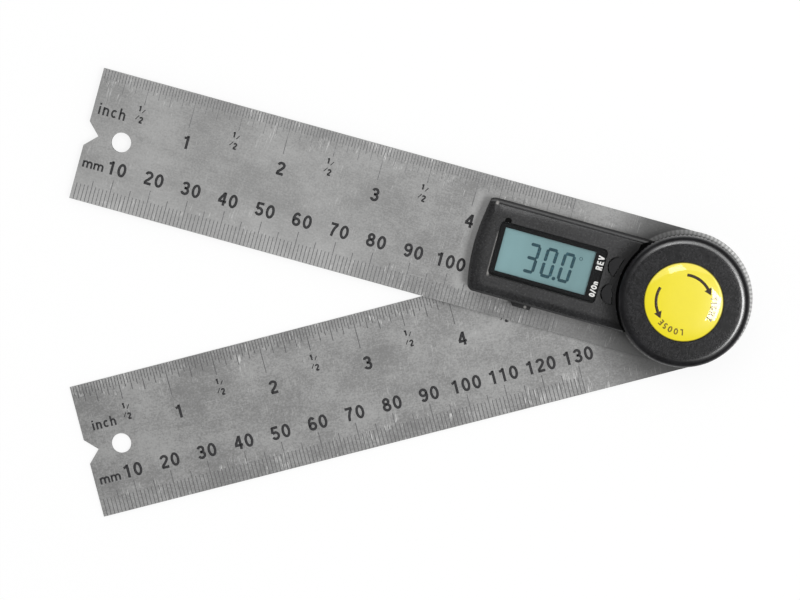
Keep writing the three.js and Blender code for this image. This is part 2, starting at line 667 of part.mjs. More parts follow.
// One board: a ring round the stud, then a tongue along the housing
function circuitBoard() {
  const shape = new THREE.Shape();
  const ringRadius = HUB_CAVITY_RADIUS - BOARD_SIDE_GAP;
  const meet = Math.asin(BOARD_EDGE / ringRadius);
  const notchY = FAR_SCREW_Y - BOSS_RADIUS - RUNNING_FIT;
  shape.absarc(0, 0, ringRadius, meet, Math.PI * 2 - meet);
  shape.lineTo(BOARD_END_X, -BOARD_EDGE);
  shape.lineTo(BOARD_END_X, -notchY);
  shape.lineTo(BOARD_TONGUE_END_X, -notchY);
  shape.lineTo(BOARD_TONGUE_END_X, notchY);
  shape.lineTo(BOARD_END_X, notchY);
  shape.lineTo(BOARD_END_X, BOARD_EDGE);
  shape.closePath();
  const sheet = raised(shape, BOARD_BASE, BOARD_TOP);
  const holes = [
    disc(STUD_RADIUS + SLIP_GAP * 2, BOARD_BASE - OVERRUN, BOARD_TOP + OVERRUN, SMALL),
    ...BOARD_SCREWS.map(({ x, y }) => {
      return disc(BOARD_SCREW_RADIUS + RUNNING_FIT, BOARD_BASE - OVERRUN, BOARD_TOP + OVERRUN, TINY, x, y);
    }),
  ];
  return cutBy(sheet, ...holes);
}

// The angle counter's chip, with its legs as one low step round it
function counterChip() {
  const half = CHIP_SIZE / 2;
  const x = TRAY_NEAR_X - GUIDE_WALL - SLIP_GAP - CHIP_SIZE / 2;
  const y = WINDOW_CENTRE_Y;
  const legs = block(x - half, x + half, y - half, y + half, BOARD_TOP, BOARD_TOP + CONTACT_THICKNESS);
  const inner = half - CONTACT_THICKNESS * 2;
  const body = block(x - inner, x + inner, y - inner, y + inner, BOARD_TOP, BOARD_TOP + BOARD_THICKNESS);
  return joined(legs, body);
}

// A moulded bridge over the battery: walls beside the tray and a plate that carries the display
function batteryGuide() {
  const near = TRAY_NEAR_X - RUNNING_FIT;
  const far = TRAY_FAR_X + RUNNING_FIT;
  const plateY = LCD_FAR_Y + CONNECTOR_WIDTH + RUNNING_FIT * 2;
  const wallY = FAR_SCREW_Y - BOSS_RADIUS - RUNNING_FIT;
  const plate = block(near - GUIDE_WALL, far + GUIDE_WALL, plateY, LCD_NEAR_Y, GUIDE_BASE, LCD_BASE);
  const nearWall = block(near - GUIDE_WALL, near, plateY, LCD_NEAR_Y, BOARD_TOP, GUIDE_BASE);
  const farWall = block(far, far + GUIDE_WALL, -wallY, wallY, BOARD_TOP, GUIDE_BASE);
  const bossRoom = [1, -1].map((side) => {
    return disc(BOSS_RADIUS + RUNNING_FIT, BOARD_TOP, LCD_TOP, TINY, FAR_SCREW_X, side * FAR_SCREW_Y);
  });
  return cutBy(joined(plate, nearWall, farWall), ...bossRoom);
}

// Battery

// A drawer open at the back, with a lip under the cell's rim and a finger tab outside
function batteryTray() {
  const frontY = COVER_EDGE - COVER_DRAFT;
  const x0 = TRAY_NEAR_X;
  const x1 = TRAY_FAR_X;
  const frame = block(x0, x1, TRAY_BACK_Y, frontY, TRAY_BASE, CELL_TOP);
  const pocketRadius = CELL_RADIUS + RUNNING_FIT;
  const pocket = disc(pocketRadius, CELL_BASE, CELL_TOP + OVERRUN, MEDIUM, TRAY_CENTRE_X, CELL_CENTRE_Y);
  const inner = CELL_RADIUS - TRAY_WALL;
  const floorHole = joined(
    disc(inner, TRAY_BASE - OVERRUN, CELL_TOP, MEDIUM, TRAY_CENTRE_X, CELL_CENTRE_Y - TRAY_FRONT),
    block(
      TRAY_CENTRE_X - inner, TRAY_CENTRE_X + inner,
      TRAY_BACK_Y - OVERRUN, CELL_CENTRE_Y - TRAY_FRONT,
      TRAY_BASE - OVERRUN, CELL_TOP,
    ),
  );
  return joined(cutBy(frame, pocket, floorHole), trayTab(frontY));
}

function trayTab(frontY) {
  const half = TRAY_TAB_LENGTH / 2;
  const tab = new THREE.Shape();
  tab.moveTo(TRAY_CENTRE_X - half, frontY - TRAY_FRONT / 2);
  tab.lineTo(TRAY_CENTRE_X + half, frontY - TRAY_FRONT / 2);
  tab.lineTo(TRAY_CENTRE_X + half - TRAY_TAB_REACH, frontY + TRAY_TAB_REACH);
  tab.lineTo(TRAY_CENTRE_X - half + TRAY_TAB_REACH / 3, frontY + TRAY_TAB_REACH);
  tab.closePath();
  const middle = (TRAY_BASE + CELL_TOP) / 2;
  return raised(tab, middle - TRAY_TAB_HEIGHT / 2, middle + TRAY_TAB_HEIGHT / 2);
}

function coinCell() {
  const step = CELL_STEP / 3;
  const can = disc(CELL_RADIUS, CELL_BASE + CELL_STEP, CELL_TOP, MEDIUM, TRAY_CENTRE_X, CELL_CENTRE_Y);
  const anode = disc(
    CELL_RADIUS - CELL_STEP, CELL_BASE, CELL_BASE + CELL_STEP + step, MEDIUM, TRAY_CENTRE_X, CELL_CENTRE_Y,
  );
  const rim = disc(
    CELL_RADIUS - step, CELL_BASE + step, CELL_BASE + CELL_STEP + step, MEDIUM, TRAY_CENTRE_X, CELL_CENTRE_Y,
  );
  return joined(can, anode, rim);
}

// A bent leaf: flat on the board, then a rise towards the underside of the cell
function contactNegative() {
  const rise = CELL_BASE - BOARD_TOP - RUNNING_FIT;
  const foot = CELL_RADIUS * CONTACT_REACH_SHARE;
  const leaf = new THREE.Shape();
  leaf.moveTo(-foot, 0);
  leaf.lineTo(0, 0);
  leaf.lineTo(foot, rise - CONTACT_THICKNESS);
  leaf.lineTo(foot, rise);
  leaf.lineTo(0, CONTACT_THICKNESS);
  leaf.lineTo(-foot, CONTACT_THICKNESS);
  leaf.closePath();
  const geometry = new THREE.ExtrudeGeometry(leaf, { depth: CONTACT_WIDTH, bevelEnabled: false });
  geometry.rotateX(Math.PI / 2);
  geometry.translate(TRAY_CENTRE_X, CELL_CENTRE_Y + CONTACT_WIDTH / 2, BOARD_TOP);
  return solidOf(geometry);
}

// A bowed strip behind the cell that touches its rim
function contactPositive() {
  const front = CELL_CENTRE_Y - CELL_RADIUS - RUNNING_FIT;
  const back = front - CONTACT_BOW;
  const half = CONTACT_WIDTH;
  const strip = new THREE.Shape();
  strip.moveTo(TRAY_CENTRE_X - half, back);
  strip.quadraticCurveTo(TRAY_CENTRE_X, 2 * front - back, TRAY_CENTRE_X + half, back);
  strip.lineTo(TRAY_CENTRE_X + half - CONTACT_THICKNESS * 2, back);
  strip.quadraticCurveTo(
    TRAY_CENTRE_X, 2 * (front - CONTACT_THICKNESS) - back,
    TRAY_CENTRE_X - half + CONTACT_THICKNESS * 2, back,
  );
  strip.closePath();
  return raised(strip, BOARD_TOP, GUIDE_BASE - SLIP_GAP, 6);
}

// Buttons and switches

function tactSwitch(side) {
  const y = side * BUTTON_PITCH / 2 + WINDOW_CENTRE_Y;
  const half = SWITCH_SIZE / 2;
  const x = SEAT_WALL_RADIUS + RUNNING_FIT * 2 + half;
  const body = block(x - half, x + half, y - half, y + half, BOARD_TOP, BOARD_TOP + SWITCH_HEIGHT);
  const plunger = disc(
    SWITCH_PLUNGER_RADIUS, BOARD_TOP + SWITCH_HEIGHT / 2, PLUNGER_TOP, TINY, x, y,
  );
  return joined(body, plunger);
}

function button(side) {
  const flangeTop = COVER_ROOF_BASE - RUNNING_FIT;
  const flangeBase = flangeTop - BUTTON_FLANGE_THICKNESS;
  const flange = cutBy(
    raised(buttonOutline(side, BUTTON_FLANGE), flangeBase, flangeTop),
    disc(SEAT_WALL_RADIUS + RUNNING_FIT, flangeBase - OVERRUN, flangeTop + OVERRUN, FINE),
    raised(windowOutline(WINDOW_FRAME_WALL + RUNNING_FIT), flangeBase - OVERRUN, flangeTop + OVERRUN, 6),
  );
  const pad = raised(buttonOutline(side, 0), flangeBase + RUNNING_FIT, BUTTON_TOP);
  const stemX = SEAT_WALL_RADIUS + RUNNING_FIT * 2 + SWITCH_SIZE / 2;
  const y = side * BUTTON_PITCH / 2 + WINDOW_CENTRE_Y;
  const stem = disc(BUTTON_STEM_RADIUS, BUTTON_BASE, flangeBase + RUNNING_FIT, TINY, stemX, y);
  return joined(pad, flange, stem);
}

// Screws

function housingScrew({ x, y, bite }) {
  const head = disc(
    SCREW_HEAD_RADIUS, UPPER_BASE, UPPER_BASE + SCREW_HEAD_DEPTH, TINY, x, y, SCREW_RADIUS,
  );
  const shank = disc(SCREW_RADIUS, UPPER_BASE + SCREW_HEAD_DEPTH / 2, UPPER_TOP + bite, TINY, x, y);
  const socket = disc(SCREW_SOCKET_RADIUS, UPPER_BASE - OVERRUN, UPPER_BASE + SCREW_SOCKET_DEPTH, 6, x, y);
  return cutBy(joined(head, shank), socket);
}

function boardScrew({ x, y }) {
  const headBase = BOARD_BASE - BOARD_SCREW_HEAD_HEIGHT;
  const head = disc(BOARD_SCREW_HEAD_RADIUS, headBase, BOARD_BASE, TINY, x, y);
  const shank = disc(BOARD_SCREW_RADIUS, headBase, BOARD_TOP + BOARD_SCREW_BITE, TINY, x, y);
  const socketTop = headBase + BOARD_SCREW_HEAD_HEIGHT / 2;
  const socket = disc(BOARD_SCREW_RADIUS / 2, headBase - OVERRUN, socketTop, 6, x, y);
  return cutBy(joined(head, shank), socket);
}

// Lock knob

function serratedOutline(radius, depth, teeth) {
  const points = Array.from({ length: teeth * 2 }, (_, i) => {
    const reach = i % 2 ? radius - depth : radius;
    const angle = i * Math.PI / teeth;
    return new THREE.Vector2(reach * Math.cos(angle), reach * Math.sin(angle));
  });
  return new THREE.Shape(points);
}

// Turned form of the knob: rounded shoulder, dished top with a label recess, hollow underside
function knobProfile() {
  const body = KNOB_RADIUS - KNOB_TOOTH_DEPTH;
  const roundSteps = 6;
  const shoulder = Array.from({ length: roundSteps + 1 }, (_, i) => {
    const angle = i / roundSteps * Math.PI / 2;
    return [
      body - KNOB_SHOULDER * (1 - Math.cos(angle)),
      KNOB_TOP - KNOB_SHOULDER_DROP * (1 - Math.sin(angle)),
    ];
  });
  const recessRadius = LABEL_RADIUS + RUNNING_FIT;
  const recessFloor = KNOB_TOP - KNOB_DISH - LABEL_RECESS;
  const bossRadius = INSERT_RADIUS + RUNNING_FIT + KNOB_BOSS_WALL;
  const boreTop = BOSS_BASE + INSERT_LENGTH + SLIP_GAP;
  return [
    [0, recessFloor],
    [recessRadius, recessFloor],
    [recessRadius, KNOB_TOP - KNOB_DISH],
    [body - KNOB_SHOULDER - KNOB_DISH * 2, KNOB_TOP - KNOB_DISH],
    ...shoulder.reverse(),
    [body, KNOB_BASE],
    [body - KNOB_WALL, KNOB_BASE],
    [body - KNOB_WALL, KNOB_ROOF_BASE],
    [bossRadius, KNOB_ROOF_BASE],
    [bossRadius, BOSS_BASE],
    [INSERT_RADIUS + RUNNING_FIT, BOSS_BASE],
    [INSERT_RADIUS + RUNNING_FIT, boreTop],
    [0, boreTop],
  ];
}

function lockKnob() {
  const body = KNOB_RADIUS - KNOB_TOOTH_DEPTH;
  const grip = cutBy(
    raised(
      serratedOutline(KNOB_RADIUS, KNOB_TOOTH_DEPTH, KNOB_TEETH),
      KNOB_BASE, KNOB_BASE + KNOB_HEIGHT * KNOB_SERRATION_SHARE,
    ),
    disc(body - KNOB_WALL / 2, KNOB_BASE - OVERRUN, KNOB_TOP, MEDIUM),
  );
  const ribs = Array.from({ length: KNOB_RIBS }, (_, i) => {
    const inner = INSERT_RADIUS + KNOB_BOSS_WALL / 2;
    const outer = body - KNOB_WALL / 2;
    const base = BOSS_BASE + KNOB_CLIP_ROOM;
    const rib = new THREE.BoxGeometry(outer - inner, KNOB_RIB_WIDTH, KNOB_ROOF_BASE + KNOB_ROOF / 2 - base);
    rib.translate((inner + outer) / 2, 0, (base + KNOB_ROOF_BASE + KNOB_ROOF / 2) / 2);
    rib.rotateZ(i * 2 * Math.PI / KNOB_RIBS);
    return solidOf(rib);
  });
  return joined(turned(knobProfile(), FINE), grip, ...ribs);
}

function knobInsert() {
  const top = BOSS_BASE + INSERT_LENGTH;
  const barrel = raised(serratedOutline(INSERT_RADIUS, INSERT_KNURL_DEPTH, INSERT_KNURLS), BOSS_BASE, top);
  return cutBy(barrel, disc(THREAD_RADIUS + RUNNING_FIT, BOSS_BASE - OVERRUN, top + OVERRUN, SMALL));
}

function knobWasher() {
  const bearing = KNOB_RADIUS - KNOB_TOOTH_DEPTH - KNOB_WALL;
  return ring(HUB_RADIUS - RUNNING_FIT, bearing - KNOB_WALL / 2, HUB_TOP, KNOB_BASE, MEDIUM);
}

function knobLabel() {
  const floor = KNOB_TOP - KNOB_DISH - LABEL_RECESS;
  const edge = floor + LABEL_EDGE;
  const domeRadius = (LABEL_RADIUS ** 2 + LABEL_DOME ** 2) / (2 * LABEL_DOME);
  const domeSteps = 5;
  const dome = Array.from({ length: domeSteps + 1 }, (_, i) => {
    const radius = LABEL_RADIUS * (1 - i / domeSteps);
    return [radius, edge + Math.sqrt(domeRadius ** 2 - radius ** 2) - domeRadius + LABEL_DOME];
  });
  return turned([[0, floor], [LABEL_RADIUS, floor], ...dome], MEDIUM);
}

// Materials

const STEEL = { color: 0x9c9c9a, roughness: 0.38, metalness: 1 };
const STUD_STEEL = { color: 0xb4b4b2, roughness: 0.3, metalness: 1 };
const BLACK_ABS = { color: 0x2c2c2e, roughness: 0.5, metalness: 0 };
const BUTTON_BLACK = { color: 0x1b1b1d, roughness: 0.42, metalness: 0 };
const YELLOW_LABEL = { color: 0xf4e62e, roughness: 0.22, metalness: 0 };
const DISPLAY = { color: 0x7fa8ac, roughness: 0.3, metalness: 0 };
const CLEAR = { color: 0xdfe8ea, roughness: 0.05, metalness: 0, transparent: true, opacity: 0.25 };
const MASK = { color: 0x0c0c0d, roughness: 0.6, metalness: 0 };
const BOARD_GREEN = { color: 0x1f5a38, roughness: 0.5, metalness: 0 };
const BRASS = { color: 0xb99a4c, roughness: 0.35, metalness: 1 };
const NYLON = { color: 0xe4e2d8, roughness: 0.5, metalness: 0 };
const ELASTOMER = { color: 0x5c2a2e, roughness: 0.8, metalness: 0 };

function part(name, solid, look) {
  const mesh = new THREE.Mesh(geometryOf(solid), new THREE.MeshStandardMaterial(look));
  mesh.name = name;
  return mesh;
}

// Assembly

const plainArm = new THREE.Group();
plainArm.add(
  part('lower_blade', lowerBlade(), STEEL),
  part('pivot_stud', pivotStud(), STUD_STEEL),
  part('friction_washer', frictionWasher(), NYLON),
  part('encoder_rotor', encoderRotor(), BOARD_GREEN),
  part('retaining_ring', retainingRing(), STUD_STEEL),
);
plainArm.rotation.z = OPEN_ANGLE;

const housingArm = new THREE.Group();
housingArm.add(
  part('upper_blade', upperBlade(), STEEL),
  part('pivot_bush', pivotBush(), BRASS),
  part('housing_cover', housingCover(), BLACK_ABS),
  part('window_lens', windowLens(), CLEAR),
  part('lens_gasket', lensGasket(), MASK),
  part('lcd_glass', lcdGlass(), DISPLAY),
  part('lcd_connector', lcdConnector(), ELASTOMER),
  part('battery_guide', batteryGuide(), NYLON),
  part('circuit_board', circuitBoard(), BOARD_GREEN),
  part('counter_chip', counterChip(), MASK),
  part('contact_negative', contactNegative(), STUD_STEEL),
  part('contact_positive', contactPositive(), STUD_STEEL),
  part('battery_tray', batteryTray(), BLACK_ABS),
  part('coin_cell', coinCell(), STUD_STEEL),
);
for (const [name, side] of Object.entries(BUTTON_SIDES)) {
  housingArm.add(part(`switch_${name}`, tactSwitch(side), MASK));
  housingArm.add(part(`button_${name}`, button(side), BUTTON_BLACK));
}
HOUSING_SCREWS.forEach((screw, i) => {
  housingArm.add(part(`housing_screw_${i + 1}`, housingScrew(screw), STUD_STEEL));
});
BOARD_SCREWS.forEach((screw, i) => {
  housingArm.add(part(`board_screw_${i + 1}`, boardScrew(screw), STUD_STEEL));
});

const knob = new THREE.Group();
knob.add(
  part('lock_knob', lockKnob(), BLACK_ABS),
  part('knob_insert', knobInsert(), BRASS),
  part('knob_label', knobLabel(), YELLOW_LABEL),
  part('knob_washer', knobWasher(), NYLON),
);

const angleFinder = new THREE.Group();
angleFinder.add(plainArm, housingArm, knob);

export default angleFinder;
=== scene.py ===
"""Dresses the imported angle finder: etched rule arms, moulded housing, display, knob and label."""

import cmath
import json
import math
from math import radians

import bpy
from bpy.props import FloatProperty, FloatVectorProperty, PointerProperty, StringProperty
from bpy.types import Operator, Panel, PropertyGroup
from mathutils import Matrix, Vector

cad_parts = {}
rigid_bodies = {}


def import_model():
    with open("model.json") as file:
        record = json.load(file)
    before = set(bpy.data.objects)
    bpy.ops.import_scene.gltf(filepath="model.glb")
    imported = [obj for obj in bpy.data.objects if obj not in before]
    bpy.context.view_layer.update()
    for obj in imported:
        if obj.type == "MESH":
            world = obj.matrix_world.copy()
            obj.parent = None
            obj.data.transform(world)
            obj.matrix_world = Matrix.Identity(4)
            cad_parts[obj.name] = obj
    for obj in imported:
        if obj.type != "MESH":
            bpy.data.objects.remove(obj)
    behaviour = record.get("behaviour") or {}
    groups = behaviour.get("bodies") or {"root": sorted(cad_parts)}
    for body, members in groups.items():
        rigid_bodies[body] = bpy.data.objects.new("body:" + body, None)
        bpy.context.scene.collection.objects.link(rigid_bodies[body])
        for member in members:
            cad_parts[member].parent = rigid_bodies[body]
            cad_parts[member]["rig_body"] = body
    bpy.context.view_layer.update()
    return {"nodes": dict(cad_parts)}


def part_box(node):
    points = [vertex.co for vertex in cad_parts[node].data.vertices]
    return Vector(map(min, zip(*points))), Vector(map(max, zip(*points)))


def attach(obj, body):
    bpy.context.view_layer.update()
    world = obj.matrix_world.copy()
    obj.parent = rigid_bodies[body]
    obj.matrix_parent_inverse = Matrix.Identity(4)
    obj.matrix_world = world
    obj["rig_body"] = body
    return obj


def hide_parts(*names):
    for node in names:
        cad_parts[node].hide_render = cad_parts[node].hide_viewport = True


bl_info = {
    "name": "Angle Finder",
    "version": (1, 0, 0),
    "blender": (4, 5, 0),
    "location": "View3D > Sidebar > Angle Finder",
    "description": "Finishes, scales, display and label of a digital angle finder with arms",
    "category": "Object",
}

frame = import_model()

MM = 0.001
INCH = 25.4 * MM


def per_arm(upper, lower):
    return {"upper_arm": upper, "lower_arm": lower}


# Places taken from the frame
ARM_TOP = per_arm(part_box("upper_blade")[1].z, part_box("lower_blade")[1].z)
ARM_TURN = per_arm(0.0, radians(30))
FREE_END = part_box("upper_blade")[1].x
ARM_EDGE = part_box("upper_blade")[1].y
KNOB_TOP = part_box("lock_knob")[1].z
DISPLAY_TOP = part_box("lcd_glass")[1].z
WINDOW_LOW, WINDOW_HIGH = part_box("window_lens")
LABEL_LOW, LABEL_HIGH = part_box("knob_label")
LABEL_RADIUS = LABEL_HIGH.x

# What a copy of a CAD node merges, flattens, bevels and smooths
WELD = 0.002 * MM
FLAT_ANGLE, SHARP_ANGLE, SMOOTH_ANGLE = radians(0.2), radians(40), radians(35)

# Zones of the steel in millimetres, from the pivot or along the arm, most of them for painted light and
# shade: painted shade round the hub, painted shadow next to the housing, painted light farther out and
# round the housing's far end, a painted highlight on the rim with painted reflections of the knob's teeth
# Share of the painted light and painted shadow on the strip, for each arm
STRIP_SHARE = per_arm(0.42, 0.0)
HUB_SHADE = (18.0, 31.0)
STRIP_SHADOW = (32.0, 66.0)
STRIP_PAINTED_LIGHT = (60.0, 100.0)
# Where the painted highlight round the housing's far end lies
END_START = (50.0, 56.0)
END_GLOW = (57.4, 60.6)
END_WIDTH = (11.5, 14.5)
# Painted highlight on the rim round the pivot, with painted reflections of the knob's teeth
RIM_HIGHLIGHT = (16.4, 17.0)
RIM_END = (17.7, 18.1)
RIM_LIT_SIDE = (-0.97, -0.26, 0)
RIM_TOOTH_REFLECTIONS = 96

# Zones of the plastics in millimetres, from the knob's axis, as places, or as heights; most of them for
# painted light and shade: painted shade round the knob's seat and in the notch, a painted highlight line
# and painted glints on the housing, a painted sheen on the knob's shoulder and painted highlights on its
# serrations
SEAT_SHADE = (17.6, 23.0)
# Painted highlight along the window's edge and painted glints at a corner and on the drawer's tab
EDGE_HIGHLIGHT = (50.5, 0.45)
GLINT_SPOTS = ((52.9, -11.6, 0.62), (39.1, 12.75, 0.55))
NOTCH_SHADE = (49.0, -7.75, 0.95)
FLANK = (9.8, 12.3)
SHOULDER_SATIN = (14.6, 15.2)
# Band and side of the painted sheen on the knob's shoulder
SHEEN_IN = (14.75, 15.3)
SHEEN_OUT = (15.6, 16.15)
SHEEN_SIDE = (-0.8, -0.6, 0)
# Painted highlight on the serrations, where their flanks catch light
TEETH = (16.5, 16.82)
TEETH_TOP = (13.5, 14.2)
HIGHLIGHT_GREY = (0.30, 0.29, 0.28)
TEETH_HIGHLIGHT_GREY = (0.15, 0.15, 0.155)


# ---- Helpers


def pick(*chosen):
    """Leaves only these objects selected, the first one active."""
    bpy.ops.object.select_all(action="DESELECT")
    for piece in chosen:
        piece.select_set(True)
    bpy.context.view_layer.objects.active = chosen[0]


def added(name, data):
    """A new object in the scene."""
    piece = bpy.data.objects.new(name, data)
    bpy.context.scene.collection.objects.link(piece)
    return piece


def started(kind, **settings):
    """A new primitive, and nothing else selected."""
    bpy.ops.object.select_all(action="DESELECT")
    getattr(bpy.ops.mesh, f"primitive_{kind}_add")(**settings)
    return bpy.context.object


def mode(name):
    bpy.ops.object.mode_set(mode=name)


def modify(piece, kind, **settings):
    """Adds a modifier and applies it."""
    modifier = piece.modifiers.new(kind.lower(), kind)
    for key, value in settings.items():
        setattr(modifier, key, value)
    bpy.ops.object.modifier_apply(modifier=modifier.name)


def settle(piece):
    """Moves a piece's place, turn and scale into its mesh."""
    pick(piece)
    bpy.ops.object.transform_apply(location=True, rotation=True, scale=True)
    return piece


def edit(piece, kind, wanted, operator, **settings):
    """Runs an operator on the vertices or edges that pass the test on their places."""
    pick(piece)
    mode("EDIT")
    bpy.ops.mesh.select_mode(type=kind)
    bpy.ops.mesh.select_all(action="DESELECT")
    mode("OBJECT")
    vertices = piece.data.vertices
    if kind == "EDGE":
        for edge in piece.data.edges:
            edge.select = wanted(*[vertices[i].co for i in edge.vertices])
    else:
        for vertex in vertices:
            vertex.select = wanted(vertex.co)
    mode("EDIT")
    operator(**settings)
    mode("OBJECT")
    return piece


def block(size, place, wanted, **bevel):
    """A block with some of its edges bevelled."""
    piece = started("cube", size=1, location=place)
    piece.scale = size
    return edit(settle(piece), "EDGE", wanted, bpy.ops.mesh.bevel, segments=1, **bevel)


def merge(name, pieces):
    pick(*pieces)
    if len(pieces) > 1:
        bpy.ops.object.join()
    piece = bpy.context.view_layer.objects.active
    piece.name = piece.data.name = name
    return piece


def finished(piece, body, finish, replaced=()):
    """Gives a piece its material, the body that it rides on and the nodes that it stands for."""
    piece.data.materials.clear()
    piece.data.materials.append(finish)
    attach(piece, body)
    if replaced:
        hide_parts(*replaced)
    return piece


def dress(finish, *names):
    """Puts a finish on CAD nodes that stay as they are."""
    for name in names:
        slots = frame["nodes"][name].data.materials
        slots.clear()
        slots.append(finish)


def rounded_copy(node, name, finish, edge=0.0, reshape=None):
    """A welded, smooth-shaded copy of a CAD node, with its sharp edges broken, that stands for it."""
    source = frame["nodes"][node]
    piece = added(name, source.data.copy())
    piece.data.name = name
    pick(piece)
    mode("EDIT")
    bpy.ops.mesh.select_all(action="SELECT")
    bpy.ops.mesh.remove_doubles(threshold=WELD)
    bpy.ops.mesh.dissolve_limited(angle_limit=FLAT_ANGLE)
    mode("OBJECT")
    if reshape:
        reshape(piece)
    if edge:
        modify(piece, "BEVEL", width=edge, segments=2, limit_method="ANGLE", angle_limit=SHARP_ANGLE)
    bpy.ops.object.shade_smooth_by_angle(angle=SMOOTH_ANGLE)
    modify(piece, "WEIGHTED_NORMAL", keep_sharp=True)
    return finished(piece, source["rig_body"], finish, (node,))


# ---- Finishes


class Wire:
    """An output socket; Python's operators on it add Math nodes."""

    def __init__(self, finish, socket):
        self.finish = finish
        self.socket = socket

    def _math(self, operation, *values):
        return self.finish.node("ShaderNodeMath", {"operation": operation}, dict(enumerate(values)))

    def _vector(self, operation, *values, out="Value"):
        settings = {"operation": operation}
        return self.finish.node("ShaderNodeVectorMath", settings, dict(enumerate(values)), out)

    def __add__(self, other):
        return self._math("ADD", self, other)

    def __sub__(self, other):
        return self._math("SUBTRACT", self, other)

    def __rsub__(self, other):
        return self._math("SUBTRACT", other, self)

    def __mul__(self, other):
        if isinstance(other, tuple):
            return self._vector("MULTIPLY", self, other, out="Vector")
        return self._math("MULTIPLY", self, other)

    __radd__ = __add__
    __rmul__ = __mul__

    def wave(self):
        return self._math("SINE", self)

    def size(self):
        return self._math("ABSOLUTE", self)

    def angle(self, along):
        return self._math("ARCTAN2", self, along)

    def axis(self, name):
        return self.finish.node("ShaderNodeSeparateXYZ", {}, {0: self}, name)

    def from_axis(self):
        """Distance from the Z axis."""
        return self._vector("LENGTH", self * (1, 1, 0))

    def from_point(self, x, y):
        """Distance in plan from a point."""
        return self._vector("DISTANCE", self * (1, 1, 0), (x, y, 0))

    def towards(self, direction):
        """How far a place lies in a direction."""
        return self._vector("DOT_PRODUCT", self, direction)

    def between(self, low, high):
        """0 below low, 1 above high, smooth between them."""
        return self.finish.node(
            "ShaderNodeMapRange", {"interpolation_type": "SMOOTHSTEP"},
            {"Value": self, "From Min": low, "From Max": high},
        )


class Finish:
    """A material whose nodes are added by one method."""

    def __init__(self, name, **uniform):
        self.material = bpy.data.materials.new(name)
        self.material.use_nodes = True
        self.tree = self.material.node_tree
        self.shader = self.tree.nodes["Principled BSDF"]
        for socket, value in uniform.items():
            self.shader.inputs[socket.replace("_", " ")].default_value = value
        self.place = self.node("ShaderNodeTexCoord", out="Object")

    def node(self, kind, settings=None, inputs=None, out=0):
        made = self.tree.nodes.new(kind)
        for key, value in (settings or {}).items():
            setattr(made, key, value)
        for key, value in (inputs or {}).items():
            if isinstance(value, Wire):
                self.tree.links.new(value.socket, made.inputs[key])
            else:
                made.inputs[key].default_value = value
        return Wire(self, made.outputs[out])

    def feed(self, **sockets):
        for key, wire in sockets.items():
            self.tree.links.new(wire.socket, self.shader.inputs[key.replace("_", " ")])
        return self

    def mapped(self, scale=(1, 1, 1), turn=0.0):
        """Object coordinates in millimetres, turned about Z and then scaled."""
        turned = self.node("ShaderNodeMapping", {}, {"Vector": self.place, "Rotation": (0, 0, turn)})
        return turned * tuple(value / MM for value in scale)

    def noise(self, size, detail=3.0, roughness=0.5, stretch=(1, 1, 1), turn=0.0, distortion=0.0):
        """Noise whose blotches are about size millimetres across, longer where stretch is above 1."""
        place = self.mapped(tuple(1 / (size * part) for part in stretch), turn)
        sockets = {"Scale": 1.0, "Detail": detail, "Roughness": roughness, "Distortion": distortion}
        return self.node("ShaderNodeTexNoise", {}, {"Vector": place, **sockets})

    def mix(self, mask, first, second):
        """Colour first where mask is 0, second where it is 1."""
        first, second = [c if isinstance(c, Wire) else (*c, 1.0) for c in (first, second)]
        return self.node("ShaderNodeMix", {"data_type": "RGBA"}, {0: mask, 6: first, 7: second}, 2)

    def bump(self, height, depth, strength=1.0):
        """Normals for a height of 0 to 1 that stands for depth, in metres."""
        sockets = {"Height": height, "Distance": depth, "Strength": strength}
        return self.feed(Normal=self.node("ShaderNodeBump", {}, sockets))


def shade(colour, factor):
    return tuple(part * factor for part in colour)


